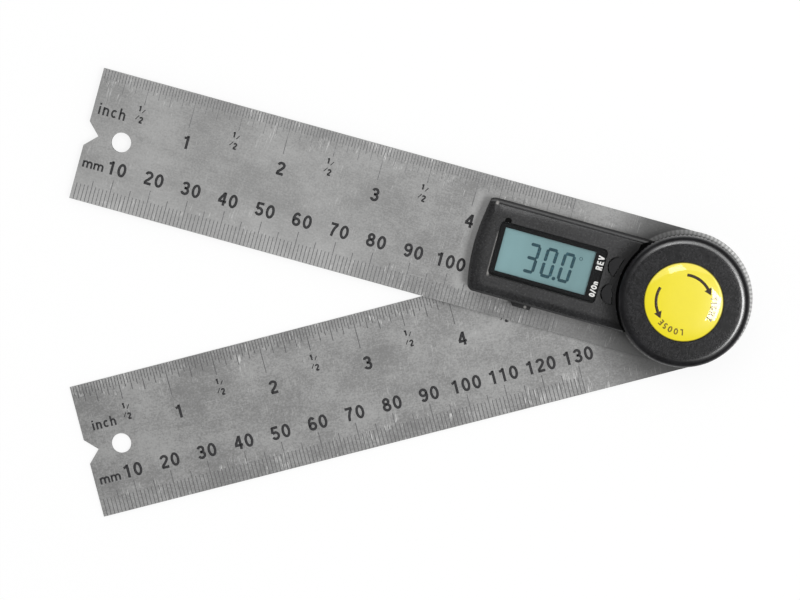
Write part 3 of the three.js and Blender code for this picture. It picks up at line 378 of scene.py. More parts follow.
def rule_steel(name, settings, turn, strip):
    """Lapped rule steel: blotchy satin, light scratches across the scales, painted shade towards the hub.

    By the share that is given, the strip next to the housing's drawer gets painted shadow and the rest of
    the upper arm painted light, with a painted highlight round the housing's far end. The rim round the
    pivot gets a painted highlight, brighter towards one side and broken by painted reflections of the
    knob's teeth.
    """
    steel = settings.steel_colour
    f = Finish(name, Metallic=0.55)
    place = f.mapped(turn=turn)
    along, side = place.axis("X"), place.axis("Y")
    across = side.size()
    from_pivot = place.from_axis()
    scales = across.between(9.5, 13.5)
    clouds = f.noise(12, 3, 0.6, (1.4, 1, 1), turn)
    mottle = f.noise(2.0, 5, 0.75, (1.2, 1, 1), turn)
    speck = f.noise(0.55, 2, 0.8, turn=turn)
    grain = f.noise(0.22, 2, 0.6, (7, 1, 1), turn)
    scratch = f.noise(0.13, 1, 0.4, (1, 30, 1), turn + 0.06).between(0.58, 0.70)
    patches = f.noise(5, 2, 0.5, (1, 1, 1), turn, 1.2).between(0.51, 0.66)
    nick = f.noise(0.13, 1, 0.4, (55, 1, 1), turn + 0.05).between(0.68, 0.74)
    tone = clouds * 0.36 + mottle * 0.18 + speck * 0.34 + grain * 0.12
    plain = f.mix(tone.between(0.38, 0.62), shade(steel, 0.72), shade(steel, 1.28))
    light = scratch * patches * (scales * 0.8 + 0.3) + nick * 0.15
    worn = f.mix(light, plain, shade(steel, 2.3))

    # Painted highlight on the steel round the housing's far end, lifting the shade there
    end = along.between(*END_START) * (1 - along.between(*END_GLOW)) * (1 - across.between(*END_WIDTH))
    # bright: painted light on the upper arm farther out, plus the painted highlight at the housing's end
    bright = (side.between(4, 17) * 0.5 + 0.3) * from_pivot.between(*STRIP_PAINTED_LIGHT) + end * 0.8
    # Painted shadow on the upper arm's strip next to the housing
    strip_shadow = (1 - from_pivot.between(*STRIP_SHADOW)) * side.between(4, 9)
    dressed = f.mix(bright * strip, worn, shade(steel, 2.1))
    dressed = f.mix(strip_shadow * strip, dressed, shade(steel, 0.3))
    # Painted shade on the steel round the hub, where the knob and housing shade it
    hub_shade = 1 - from_pivot.between(*HUB_SHADE)
    dressed = f.mix(hub_shade * 0.82, dressed, shade(steel, 0.12))

    # Painted highlight on the rim round the pivot, brighter on one side, broken by painted reflections of
    # the knob's teeth
    rim = from_pivot.between(*RIM_HIGHLIGHT) * (1 - from_pivot.between(*RIM_END))
    tooth_reflections = (side.angle(along) * RIM_TOOTH_REFLECTIONS).wave().between(-0.3, 0.5)
    rim = rim * (0.25 + place.towards(RIM_LIT_SIDE).between(-6, 14) * 0.65) * (1 - tooth_reflections * 0.42)
    f.feed(
        Base_Color=f.mix(rim, dressed, shade(steel, 2.3)),
        Roughness=0.40 + mottle * 0.10 + speck * 0.12,
    )
    f.bump(grain * 0.25 + speck * 0.55 + mottle * 0.2 - scratch * scales * 0.4, 0.010 * MM, 0.6)
    return f.material


def etched_ink(name, colour, **uniform):
    """Dark fill in an etched line, a little worn."""
    f = Finish(name, **uniform)
    wear = f.noise(0.5, 4, 0.7)
    f.feed(
        Base_Color=f.mix(wear.between(0.45, 0.8), colour, shade(colour, 2.6)),
        Roughness=0.55 + wear * 0.2,
    )
    return f.material


def moulded(name, colour, grain, gloss, depth):
    """Moulded black plastic with a fine spark-eroded grain and faint handling marks."""
    f = Finish(name)
    texture = f.noise(grain, 3, 0.6)
    cloud = f.noise(7, 3, 0.55)
    rub = f.noise(2.4, 5, 0.7).between(0.56, 0.78)
    tone = cloud.between(0.3, 0.7) * 0.6 + rub * 0.4
    f.feed(
        Base_Color=f.mix(tone, shade(colour, 0.85), shade(colour, 1.35)),
        Roughness=gloss + texture * 0.12 - rub * 0.06,
    )
    return f.bump(texture, depth * MM, 0.6).material


def housing_plastic(name, colour):
    """Moulded black plastic with painted shade round the knob's seat and in the notch, and a painted
    highlight line and painted glints at a few edges.
    """
    f = Finish(name)
    place = f.mapped()
    near = 1 - place.from_axis().between(*SEAT_SHADE)
    texture = f.noise(0.55, 3, 0.75)
    cloud = f.noise(7, 3, 0.55)
    rub = f.noise(2.4, 5, 0.7).between(0.56, 0.78)
    tone = cloud.between(0.3, 0.7) * 0.3 + rub * 0.2 + texture.between(0.36, 0.64) * 0.5
    plain = f.mix(tone, shade(colour, 0.45), shade(colour, 1.5))
    shaded = f.mix(near, plain, shade(colour, 0.15))

    # Painted highlight along the window's left edge and painted glints at a corner and on the drawer's tab;
    # worn carries them
    x, reach = EDGE_HIGHLIGHT
    side = place.axis("Y")
    line = 1 - (place.axis("X") - x).size().between(reach * 0.3, reach)
    line = line * side.between(-5.0, -3.0) * (1 - side.between(6.0, 7.5)) * (0.5 + texture)
    worn = line * 1.4
    for x, y, reach in GLINT_SPOTS:
        worn = worn + (1 - place.from_point(x, y).between(reach * 0.3, reach))
    flank = 1 - place.axis("Z").between(*FLANK)
    x, y, reach = NOTCH_SHADE
    notch = 1 - place.from_point(x, y).between(reach * 0.85, reach)
    f.feed(
        Base_Color=f.mix(notch, f.mix(worn, shaded, HIGHLIGHT_GREY), (0, 0, 0)),
        Roughness=0.20 + texture * 0.12 - rub * 0.05 - near * 0.10 + flank * 0.6 + notch * 0.8,
    )
    return f.bump(texture, 0.03 * MM, 0.6).material


def knob_plastic(name, colour):
    """Moulded black plastic, with a painted sheen (a clear coat on one side of the shoulder) and painted
    highlights on the serrations.
    """
    f = Finish(name, Specular_IOR_Level=0.42, Coat_IOR=2.0, Coat_Roughness=0.27)
    place = f.mapped()
    from_axis = place.from_axis()
    shoulder = from_axis.between(*SHOULDER_SATIN)
    # Painted sheen: a clear coat on a band of the shoulder, only on the side towards the lamps
    polish = from_axis.between(*SHEEN_IN) * (1 - from_axis.between(*SHEEN_OUT))
    sheen_side = place.towards(SHEEN_SIDE).between(-9, 3)
    # Painted highlight on the serrations: their crests are coloured grey
    teeth = from_axis.between(*TEETH) * (1 - place.axis("Z").between(*TEETH_TOP))
    texture = f.noise(0.55, 3, 0.75)
    cloud = f.noise(5, 3, 0.55)
    tone = (cloud * 0.35 + texture * 0.65).between(0.36, 0.64)
    plain = f.mix(tone, shade(colour, 0.35), shade(colour, 1.45))
    f.feed(
        Base_Color=f.mix(teeth * (0.4 + texture), plain, TEETH_HIGHLIGHT_GREY),
        Roughness=0.16 + texture * 0.12 + shoulder * 0.09 + teeth * 0.2,
        Coat_Weight=polish * sheen_side,
    )
    return f.bump(texture, 0.03 * MM, 0.6).material


def bright_steel(name, colour, metallic=1.0):
    """Turned or stamped bright metal with a fine cross grain."""
    f = Finish(name, Metallic=metallic)
    grain = f.noise(0.12, 3, 0.6, (6, 1, 1))
    blotch = f.noise(1.5, 3, 0.5)
    f.feed(
        Base_Color=f.mix(blotch.between(0.35, 0.65), shade(colour, 0.9), shade(colour, 1.08)),
        Roughness=0.22 + grain * 0.16,
    )
    return f.bump(grain, 0.006 * MM, 0.5).material


def plain_moulding(name, colour, gloss, grain=0.6, variation=0.12):
    """Smooth moulded or cut plastic, nylon or rubber with a slight cloud in its colour."""
    f = Finish(name)
    cloud = f.noise(grain * 4, 3, 0.5)
    fine = f.noise(grain, 3, 0.6)
    f.feed(
        Base_Color=f.mix(cloud, shade(colour, 1 - variation), shade(colour, 1 + variation)),
        Roughness=gloss + fine * 0.1 - 0.05,
    )
    return f.bump(fine, 0.004 * MM, 0.5).material


def board_lacquer(name):
    """Green solder lacquer over copper tracks."""
    f = Finish(name, Coat_Weight=0.2)
    tracks = f.node(
        "ShaderNodeTexBrick", {"offset": 0.5},
        {"Vector": f.mapped((0.45, 0.45, 0.45)), "Scale": 1.0, "Mortar Size": 0.08,
         "Color1": (0, 0, 0, 1), "Color2": (0.12, 0.12, 0.12, 1), "Mortar": (1, 1, 1, 1)},
    )
    cloud = f.noise(2, 3, 0.5)
    lacquer = f.mix(cloud, (0.010, 0.085, 0.035), (0.016, 0.12, 0.05))
    f.feed(
        Base_Color=f.mix(tracks, lacquer, (0.05, 0.22, 0.09)),
        Roughness=0.3 + cloud * 0.15,
    )
    return f.material


LAYER_PITCH = 0.25


def connector_rubber(name):
    """Elastomer strip with its fine carbon layers across it."""
    f = Finish(name, Roughness=0.6)
    layers = (f.mapped().axis("X") * (2 * math.pi / LAYER_PITCH)).wave()
    f.feed(Base_Color=f.mix(layers.between(-0.2, 0.2), (0.35, 0.08, 0.07), (0.015, 0.012, 0.012)))
    return f.material


def display_glass(name, settings):
    """Reflective display: blue-green, lighter towards its free-end side, with a faint vertical haze."""
    f = Finish(name)
    along = f.mapped().axis("X")
    haze = f.noise(2.2, 3, 0.5, (1, 4, 1))
    speck = f.noise(0.16, 2, 0.6)
    light = along.between(34, 50) * 0.55 + haze * 0.35 + speck * 0.18
    colour = settings.glass_colour
    f.feed(
        Base_Color=f.mix(light, shade(colour, 0.86), shade(colour, 1.28)),
        Roughness=0.38 + speck * 0.1,
    )
    return f.material


def clear_window(name):
    """Clear acrylic: see-through with a soft polish."""
    f = Finish(name, Base_Color=(0.02, 0.024, 0.024, 1), IOR=1.49, Alpha=0.12)
    polish = f.noise(3, 3, 0.5)
    f.feed(Roughness=0.04 + polish * 0.05)
    f.material.surface_render_method = "BLENDED"
    return f.material


def label_vinyl(name, settings):
    """Yellow print under a clear domed resin, with painted shade round its rim."""
    f = Finish(name, Coat_Weight=1.0, Coat_Roughness=0.04)
    colour = settings.label_colour
    cloud = f.noise(2.5, 3, 0.5)
    speck = f.noise(0.25, 2, 0.6)
    # Painted shade: a darker ring at the label's rim, where it sits in the knob's recess
    edge = f.mapped().from_axis().between(LABEL_RADIUS / MM - 0.35, LABEL_RADIUS / MM - 0.05)
    print_colour = f.mix(cloud * 0.6 + speck * 0.4, shade(colour, 0.95), shade(colour, 1.04))
    f.feed(
        Base_Color=f.mix(edge, print_colour, (0.16, 0.13, 0.012)),
        Roughness=0.3 + speck * 0.1,
    )
    return f.material


# ---- Strokes and figures


def arc(centre, radii, start, end, steps=14):
    """Points on an ellipse's arc between two angles in degrees."""
    turns = [radians(start + (end - start) * i / steps) for i in range(steps + 1)]
    return [(centre[0] + radii[0] * math.cos(t), centre[1] + radii[1] * math.sin(t)) for t in turns]


def loop(centre, radii):
    return arc(centre, radii, 90, 450, 28)


STEM = [(0.1, 0), (0.1, 1)]
ARCH = arc((0.27, 0.46), (0.17, 0.17), 180, 0, 10)

# Each figure: its width, then its strokes, on a height of 1 with strokes 0.18 wide
FIGURES = {
    "0": (0.6, [loop((0.3, 0.5), (0.205, 0.41))]),
    "1": (0.56, [[(0.32, 0), (0.32, 1)], [(0.32, 0.94), (0.24, 0.83), (0.07, 0.785)]]),
    "2": (0.6, [arc((0.3, 0.71), (0.2, 0.2), 172, -28) + [(0.33, 0.41), (0.17, 0.25), (0.12, 0.09)],
                [(0.06, 0.09), (0.54, 0.09)]]),
    "3": (0.6, [arc((0.29, 0.715), (0.18, 0.195), 165, -90) + [(0.22, 0.52)],
                [(0.22, 0.52)] + arc((0.29, 0.305), (0.205, 0.215), 90, -165)]),
    "4": (0.6, [[(0.42, 0), (0.42, 1)], [(0.4, 0.95), (0.09, 0.36)], [(0.03, 0.31), (0.58, 0.31)]]),
    "5": (0.6, [[(0.12, 0.91), (0.53, 0.91)], [(0.15, 0.95), (0.12, 0.5)],
                [(0.12, 0.5)] + arc((0.29, 0.325), (0.205, 0.235), 125, -160)]),
    "6": (0.6, [loop((0.305, 0.315), (0.2, 0.225)), arc((0.31, 0.5), (0.215, 0.41), 205, 45)]),
    "7": (0.58, [[(0.05, 0.91), (0.53, 0.91)], [(0.48, 0.9), (0.33, 0.62), (0.24, 0.32), (0.21, 0)]]),
    "8": (0.6, [loop((0.3, 0.725), (0.165, 0.185)), loop((0.3, 0.3), (0.205, 0.21))]),
    "9": (0.6, [loop((0.295, 0.685), (0.2, 0.225)), arc((0.29, 0.5), (0.215, 0.41), 25, -135)]),
    "/": (0.4, [[(0.02, -0.04), (0.38, 1.04)]]),
    "i": (0.22, [[(0.11, 0), (0.11, 0.72)], [(0.11, 0.84), (0.11, 1)]]),
    "n": (0.54, [[(0.1, 0), (0.1, 0.72)], ARCH + [(0.44, 0)]]),
    "c": (0.5, [arc((0.27, 0.36), (0.18, 0.28), 48, 312)]),
    "h": (0.54, [STEM, ARCH + [(0.44, 0)]]),
    "m": (1.1, [[(0.1, 0), (0.1, 0.72)], *[
        arc((x, 0.46), (0.225, 0.2), 180, 0, 10) + [(x + 0.225, 0)] for x in (0.325, 0.775)
    ]]),
    "E": (0.54, [STEM, *[[(0.1, y), (0.5, y)] for y in (0.09, 0.5, 0.91)]]),
    "G": (0.66, [arc((0.33, 0.5), (0.24, 0.41), 48, 330), [(0.35, 0.45), (0.57, 0.45), (0.57, 0.05)]]),
    "H": (0.62, [STEM, [(0.52, 0), (0.52, 1)], [(0.1, 0.5), (0.52, 0.5)]]),
    "I": (0.22, [[(0.11, 0), (0.11, 1)]]),
    "L": (0.5, [STEM, [(0.1, 0.09), (0.47, 0.09)]]),
    "O": (0.66, [loop((0.33, 0.5), (0.24, 0.41))]),
    "R": (0.58, [STEM,
                 [(0.1, 0.91)] + arc((0.3, 0.715), (0.17, 0.195), 90, -90) + [(0.1, 0.52)],
                 [(0.3, 0.5), (0.5, 0)]]),
    "S": (0.56, [arc((0.28, 0.715), (0.17, 0.195), 25, 270) + arc((0.28, 0.3), (0.19, 0.21), 90, -155)]),
    "T": (0.54, [[(0.27, 0), (0.27, 1)], [(0.03, 0.91), (0.51, 0.91)]]),
    "V": (0.56, [[(0.04, 1), (0.28, 0.04)], [(0.28, 0.04), (0.52, 1)]]),
}
FIGURE_GAP = 0.13


def ribbons(name, strokes, width, thickness, base):
    """Strokes in plan as one mesh of flat ribbons, from base up by thickness."""
    line = bpy.data.curves.new(name, "CURVE")
    line.dimensions = "3D"
    line.bevel_depth = width / 2
    line.bevel_resolution = 1
    line.use_fill_caps = True
    for points in strokes:
        closed = math.dist(points[0], points[-1]) < 1e-9
        kept = points[:-1] if closed else points
        spline = line.splines.new("POLY")
        spline.points.add(len(kept) - 1)
        for target, (x, y) in zip(spline.points, kept):
            target.co = (x, y, 0, 1)
        spline.use_cyclic_u = closed
    piece = added(name, line)
    pick(piece)
    bpy.ops.object.convert(target="MESH")
    piece.scale.z = thickness / width
    piece.location.z = base + thickness / 2
    return settle(piece)


def set_text(body, height, centre, turn=0.0, round_radius=None, gap=FIGURE_GAP, stretch=1.0):
    """Strokes of a text of that height about centre, its foot turned, or bent round a circle's centre."""
    total = sum(FIGURES[c][0] for c in body) + gap * (len(body) - 1)
    pen, strokes = -total / 2, []
    for c in body:
        width, shapes = FIGURES[c]
        for shape in shapes:
            placed = []
            for x, y in shape:
                u, v = (pen + x) * height * stretch, (y - 0.5) * height
                if round_radius:
                    at = cmath.rect(round_radius + v, turn - u / round_radius)
                else:
                    at = complex(u, v) * cmath.rect(1, turn)
                placed.append((centre[0] + at.real, centre[1] + at.imag))
            strokes.append(placed)
        pen += width + gap
    return strokes


def tick_row(settings, pitch, count, start, end, side, share=1.0):
    """Etched lines at one pitch from the free end, between two distances in millimetres from an edge."""
    start, length = start * MM, end * MM - start * MM
    row = block(
        (settings.line_width * share, length, settings.line_height),
        (FREE_END - pitch, side * (ARM_EDGE - start - length / 2), 0),
        lambda a, b: min(a.z, b.z) > 0, offset=settings.line_height / 3,
    )
    if count > 1:
        modify(
            row, "ARRAY", count=count, use_relative_offset=False, use_constant_offset=True,
            constant_offset_displace=(-pitch, 0, 0),
        )
    return row


def on_arm(piece, arm):
    """Turns a piece made along +X into an arm's own direction."""
    piece.rotation_euler.z = ARM_TURN[arm]
    return settle(piece)


# ---- Settings


def number(name, description, default, kind=FloatProperty, **settings):
    return kind(name=name, description=description, default=default, **{"precision": 4, **settings})


def length(*words):
    return number(*words, unit="LENGTH", precision=5)


def colour(*words):
    return number(*words, FloatVectorProperty, subtype="COLOR", min=0, max=1)


class SteelSettings(PropertyGroup):
    """Colours of the metal pieces."""

    steel_colour: colour("Rule steel", "Colour of the two arms", (0.296, 0.296, 0.293))
    bright_colour: colour("Bright steel", "Colour of stud, clip and screws", (0.62, 0.62, 0.61))
    brass_colour: colour("Brass", "Colour of bush and insert", (0.62, 0.45, 0.17))


class ScaleSettings(PropertyGroup):
    """The etched scales and their figures."""

    line_width: length("Line width", "Width of a graduation", 0.21 * MM)
    line_height: length("Line height", "How far the fill stands on the steel", 0.012 * MM)
    figure_height: length("Figure height", "Height of the millimetre figures", 3.55 * MM)
    inch_height: length("Inch figure height", "Height of the inch figures", 3.5 * MM)
    unit_height: length("Unit height", "Height of the unit words", 3.0 * MM)
    fraction_height: length("Fraction height", "Height of each figure in a fraction", 1.7 * MM)
    ink_colour: colour("Ink", "Colour of the etched figures", (0.022, 0.022, 0.024))
    line_colour: colour("Line ink", "Colour of the graduations", (0.095, 0.095, 0.097))


class MouldingSettings(PropertyGroup):
    """Colours of the plastic pieces."""

    housing_colour: colour("Housing", "Colour of the housing", (0.026, 0.026, 0.027))
    knob_colour: colour("Knob", "Colour of the lock knob", (0.0098, 0.0096, 0.0108))
    button_colour: colour("Buttons", "Colour of the two buttons", (0.011, 0.011, 0.012))


class DisplaySettings(PropertyGroup):
    """The display behind the window."""

    reading: StringProperty(name="Reading", description="Figures that the display shows", default="30.0")
    figure_height: length("Figure height", "Height of the display's figures", 7.9 * MM)
    figure_width: length("Figure width", "Width of one figure", 3.2 * MM)
    figure_pitch: length("Figure pitch", "Distance from one figure to the next", 4.6 * MM)
    bar_width: length("Bar width", "Width of one bar of a figure", 0.82 * MM)
    glass_colour: colour("Glass", "Colour of the unlit display", (0.285, 0.50, 0.525))
    bar_colour: colour("Bars", "Colour of the bars", (0.030, 0.095, 0.12))
    legend_height: length("Legend height", "Height of the white legends", 1.7 * MM)


class LabelSettings(PropertyGroup):
    """The domed label on the knob."""

    label_colour: colour("Label", "Colour of the label", (0.90, 0.765, 0.004))
    print_colour: colour("Arrows", "Colour of the arrows", (0.035, 0.018, 0.006))
    word_colour: colour("Words", "Colour of the words", (0.19, 0.13, 0.010))
    word_height: length("Word height", "Height of the words on the label", 1.6 * MM)


class StageSettings(PropertyGroup):
    """Floor, light and camera."""

    floor_colour: colour("Floor", "Colour of the floor", (0.985, 0.985, 0.985))
    floor_glow: number("Floor glow", "How much of the floor's shadow is lifted", 0.85, subtype="FACTOR")
    sky_level: number("Sky", "Strength of the light from all round", 0.5)
    gloss_level: number("Reflected sky", "Strength of the sky in reflections", 0.15)
    overhead_power: number("Overhead power", "Watts of the overhead softbox", 4.3)
    side_power: number("Side power", "Watts of the right softbox", 7.0)
    camera_distance: length("Camera distance", "From the pivot to the camera", 1.5)
    camera_zoom: number("Zoom", "Focal length over distance, in frame pixels per millimetre", 3.8623)


# ---- Operators


class ANGLEFINDER_OT_arms(Operator):
    """Finish the steel of both rule arms"""

    bl_idname = "angle_finder.arms"
    bl_label = "Rule arms"

    def execute(self, context):
        settings = context.scene.angle_finder_steel
        for arm, node in (("upper_arm", "upper_blade"), ("lower_arm", "lower_blade")):
            steel = rule_steel(f"rule steel of {arm}", settings, -ARM_TURN[arm], STRIP_SHARE[arm])
            rounded_copy(node, f"{node}_lapped", steel, 0.08 * MM)
        return {"FINISHED"}


# Each kind of line: its step in millimetres or its parts of an inch, then from and to, in from the edge
MM_TICKS = ((1, 0.1, 4.45), (5, 4.45, 6.0), (10, 6.0, 7.45))
INCH_TICKS = ((32, 0.1, 2.6), (16, 2.6, 3.5), (8, 3.5, 4.5), (4, 4.5, 5.4), (2, 5.4, 6.4), (1, 6.4, 9.1))
LINE_TONE = {"mm": per_arm(1.35, 1.1), "inch": per_arm(1.5, 1.0)}
FINE_TICKS = per_arm(0.6, 1.1)
MM_REACH = 130
INCH_REACH = 5


class ANGLEFINDER_OT_graduations(Operator):
    """Etch the millimetre and inch graduations into both arms"""

    bl_idname = "angle_finder.graduations"
    bl_label = "Graduations"

    def execute(self, context):
        settings = context.scene.angle_finder_scales
        for arm, top in ARM_TOP.items():
            rows = {"mm": [], "inch": []}
            for step, start, end in MM_TICKS:
                rows["mm"].append(tick_row(settings, step * MM, MM_REACH // step, start, end, 1))
            for parts, start, end in INCH_TICKS:
                count, share = INCH_REACH * parts, FINE_TICKS[arm] if 2 < parts < 32 else 1.0
                rows["inch"].append(tick_row(settings, INCH / parts, count, start, end, -1, share))
            for unit, made in rows.items():
                tone = shade(settings.line_colour, LINE_TONE[unit][arm])
                ink = etched_ink(f"{unit} lines of {arm}", tone)
                scale = merge(f"{arm}_{unit}_lines", made)
                scale.location.z = top
                settle(scale)
                on_arm(scale, arm)
                finished(scale, arm, ink)
        return {"FINISHED"}


# In millimetres: insets from the edge, and shifts along and across the arm
MM_FIGURE_INSET = per_arm(10.5, 10.0)
INCH_FIGURE_INSET = per_arm(12.9, 13.2)
FRACTION_INSET = per_arm(9.1, 9.6)
UNIT_PLACES = per_arm(((5.04, 10.4), (3.86, 10.0)), ((6.3, 11.2), (4.2, 9.5)))
TOWARDS_HUB = per_arm(0.4, 0.9)
MM_SHIFT = per_arm(0.1, 0.5)
HALF_MARK = 0.47
FRACTION_RISE = 1.45
FRACTION_SHIFT = 0.45
UPPER_FIGURE = 0.85
SLASH = (((1.0, 1.5), (0.25, 0.375)), ((-0.3, -0.45), (-1.0, -1.5)))
FIGURE_STRETCH = 1.1
WORD_STRETCH = 1.12
FIGURE_RISE = 1.5
STROKE_SHARES = {"bold": 0.19, "words": 0.135, "halves": 0.115, "fine": 0.06}
INCH_WORD = per_arm(1.0, 0.88)
MM_WORD = 0.8


class ANGLEFINDER_OT_figures(Operator):
    """Etch the figures, fractions and unit words into both arms"""

    bl_idname = "angle_finder.figures"
    bl_label = "Figures"

    def execute(self, context):
        settings = context.scene.angle_finder_scales
        upright, rise = math.pi, settings.line_height * FIGURE_RISE
        for arm, top in ARM_TOP.items():
            ink = etched_ink(f"etched figures of {arm}", settings.ink_colour)
            inset, inch_inset = MM_FIGURE_INSET[arm] * MM, INCH_FIGURE_INSET[arm] * MM
            bold, words, halves, fine = strokes = [], [], [], []
            for value in range(10, MM_REACH + 1, 10):
                place = (FREE_END - (value + MM_SHIFT[arm]) * MM, ARM_EDGE - inset)
                bold += set_text(str(value), settings.figure_height, place, upright, stretch=FIGURE_STRETCH)
            for value in range(1, INCH_REACH):
                place = (FREE_END - value * INCH - TOWARDS_HUB[arm] * MM, -ARM_EDGE + inch_inset)
                bold += set_text(str(value), settings.inch_height, place, upright, stretch=FIGURE_STRETCH)
            for value in range(INCH_REACH):
                x = FREE_END - (value + HALF_MARK) * INCH - TOWARDS_HUB[arm] * MM
                y = -ARM_EDGE + FRACTION_INSET[arm] * MM
                size = settings.fraction_height
                aside, apart = FRACTION_SHIFT * MM, FRACTION_RISE * MM
                halves += set_text("1", size * UPPER_FIGURE, (x + aside, y - apart), upright)
                halves += set_text("2", size, (x - aside, y + apart), upright)
                fine += [[(x + u * MM, y + v * MM) for u, v in ends] for ends in SLASH]
            (inch_along, inch_in), (mm_along, mm_in) = UNIT_PLACES[arm]
            inch_place = (FREE_END - inch_along * MM, -ARM_EDGE + inch_in * MM)
            mm_place = (FREE_END - mm_along * MM, ARM_EDGE - mm_in * MM)
            word_height = settings.unit_height * INCH_WORD[arm]
            words += set_text("inch", word_height, inch_place, upright, stretch=WORD_STRETCH)
            words += set_text("mm", settings.unit_height * MM_WORD, mm_place, upright)
            figures = merge(f"{arm}_figures", [
                ribbons(weight, drawn, settings.figure_height * share, rise, top)
                for (weight, share), drawn in zip(STROKE_SHARES.items(), strokes)
            ])
            on_arm(figures, arm)
            finished(figures, arm, ink)
        return {"FINISHED"}


# What is reshaped on the housing's side, the button caps and the knob's top
HOUSING_SIDE = 12.3 * MM
SIDE_START = 12 * MM
SIDE_ROUND = 2.65 * MM
SIDE_ROUND_KEPT = 0.46
CAP_KEPT = 0.90
DISH_DEPTH = 0.1 * MM
SHOULDER = (14.1 * MM, 16.56 * MM)
SHOULDER_KEPT = 0.867
SHOULDER_REACH = 16.87 * MM
SHOULDER_HEIGHT = 2 * MM


def crisp_side(shell):
    """Tightens the housing's shoulder on the side of the inch scale."""
    low, high = -HOUSING_SIDE - 0.01 * MM, SIDE_ROUND - HOUSING_SIDE
    edit(
        shell, "VERT", lambda co: co.x > SIDE_START and low < co.y < high, bpy.ops.transform.resize,
        value=(1, SIDE_ROUND_KEPT, 1), center_override=(0, -HOUSING_SIDE, 0),
    )


def slimmer(cap):
    """Widens the dark gap round a button cap."""
    middle = sum((Vector(corner) for corner in cap.bound_box), Vector()) / 8
    size = (CAP_KEPT, CAP_KEPT, 1)
    edit(cap, "VERT", lambda co: True, bpy.ops.transform.resize, value=size, center_override=middle)


def level_top(knob):
    """Fills the knob's shallow dish and carries its shoulder out over the serrations."""
    edit(
        knob, "VERT", lambda co: abs(co.z - KNOB_TOP + DISH_DEPTH) < DISH_DEPTH / 4,
        bpy.ops.transform.translate, value=(0, 0, DISH_DEPTH),
    )
    for vertex in knob.data.vertices:
        radius = math.hypot(vertex.co.x, vertex.co.y)
        if SHOULDER[0] < radius < SHOULDER[1] and vertex.co.z > KNOB_TOP - SHOULDER_HEIGHT:
            share = (SHOULDER_REACH - (SHOULDER[1] - radius) * SHOULDER_KEPT) / radius
            vertex.co.x *= share
            vertex.co.y *= share


class ANGLEFINDER_OT_mouldings(Operator):
    """Finish the housing, battery drawer, buttons and knob"""

    bl_idname = "angle_finder.mouldings"
    bl_label = "Mouldings"

    def execute(self, context):
        settings = context.scene.angle_finder_mouldings
        housing = housing_plastic("housing plastic", settings.housing_colour)
        knob = knob_plastic("knob plastic", settings.knob_colour)
        button = moulded("button plastic", settings.button_colour, 0.2, 0.14, 0.006)
        rounded_copy("housing_cover", "housing_shell", housing, 0.10 * MM, crisp_side)
        rounded_copy("battery_tray", "battery_drawer_body", housing, 0.06 * MM)
        rounded_copy("lock_knob", "lock_knob_moulding", knob, 0.05 * MM, level_top)
        for node in ("button_zero", "button_reverse"):
            rounded_copy(node, f"{node}_cap", button, 0.06 * MM, slimmer)
        return {"FINISHED"}


# The lit bars of each figure: a to f round it from the top, g in its middle
BARS = {
    "0": "abcdef", "1": "bc", "2": "abdeg", "3": "abcdg", "4": "bcfg",
    "5": "acdfg", "6": "acdefg", "7": "abc", "8": "abcdefg", "9": "abcdfg",
}
DISPLAY_START_X = 40.65
DISPLAY_SLANT = 0.045
READING_SHIFT = 0.25 * MM
BAR_THICKNESS = 0.03 * MM
BAR_POINT = 0.42
DOT_SHARE = 0.6
LEGENDS = (("REV", (23.3, -3.65), 1.0, 0.22), ("0/On", (23.25, 3.25), 0.86, 0.18))
DEGREE_RADIUS = 0.38 * MM
DEGREE_STROKE = 0.15 * MM
DEGREE_DROP = 0.3 * MM
DEGREE_GAP = 0.34
LEGEND_STROKE = 0.23
PRINT_THICKNESS = 0.02 * MM


def display_bar(settings, centre, standing):
    """One bar of a display figure: a thin block with its ends cut to points."""
    span = (settings.figure_height / 2 if standing else settings.figure_width) - settings.bar_width
    size = (settings.bar_width, span) if standing else (span, settings.bar_width)
    return block(
        (*size, BAR_THICKNESS), (*centre, DISPLAY_TOP + BAR_THICKNESS / 2),
        lambda a, b: abs(a.z - b.z) > BAR_THICKNESS / 2,
        offset=settings.bar_width * BAR_POINT, offset_type="WIDTH",
    )


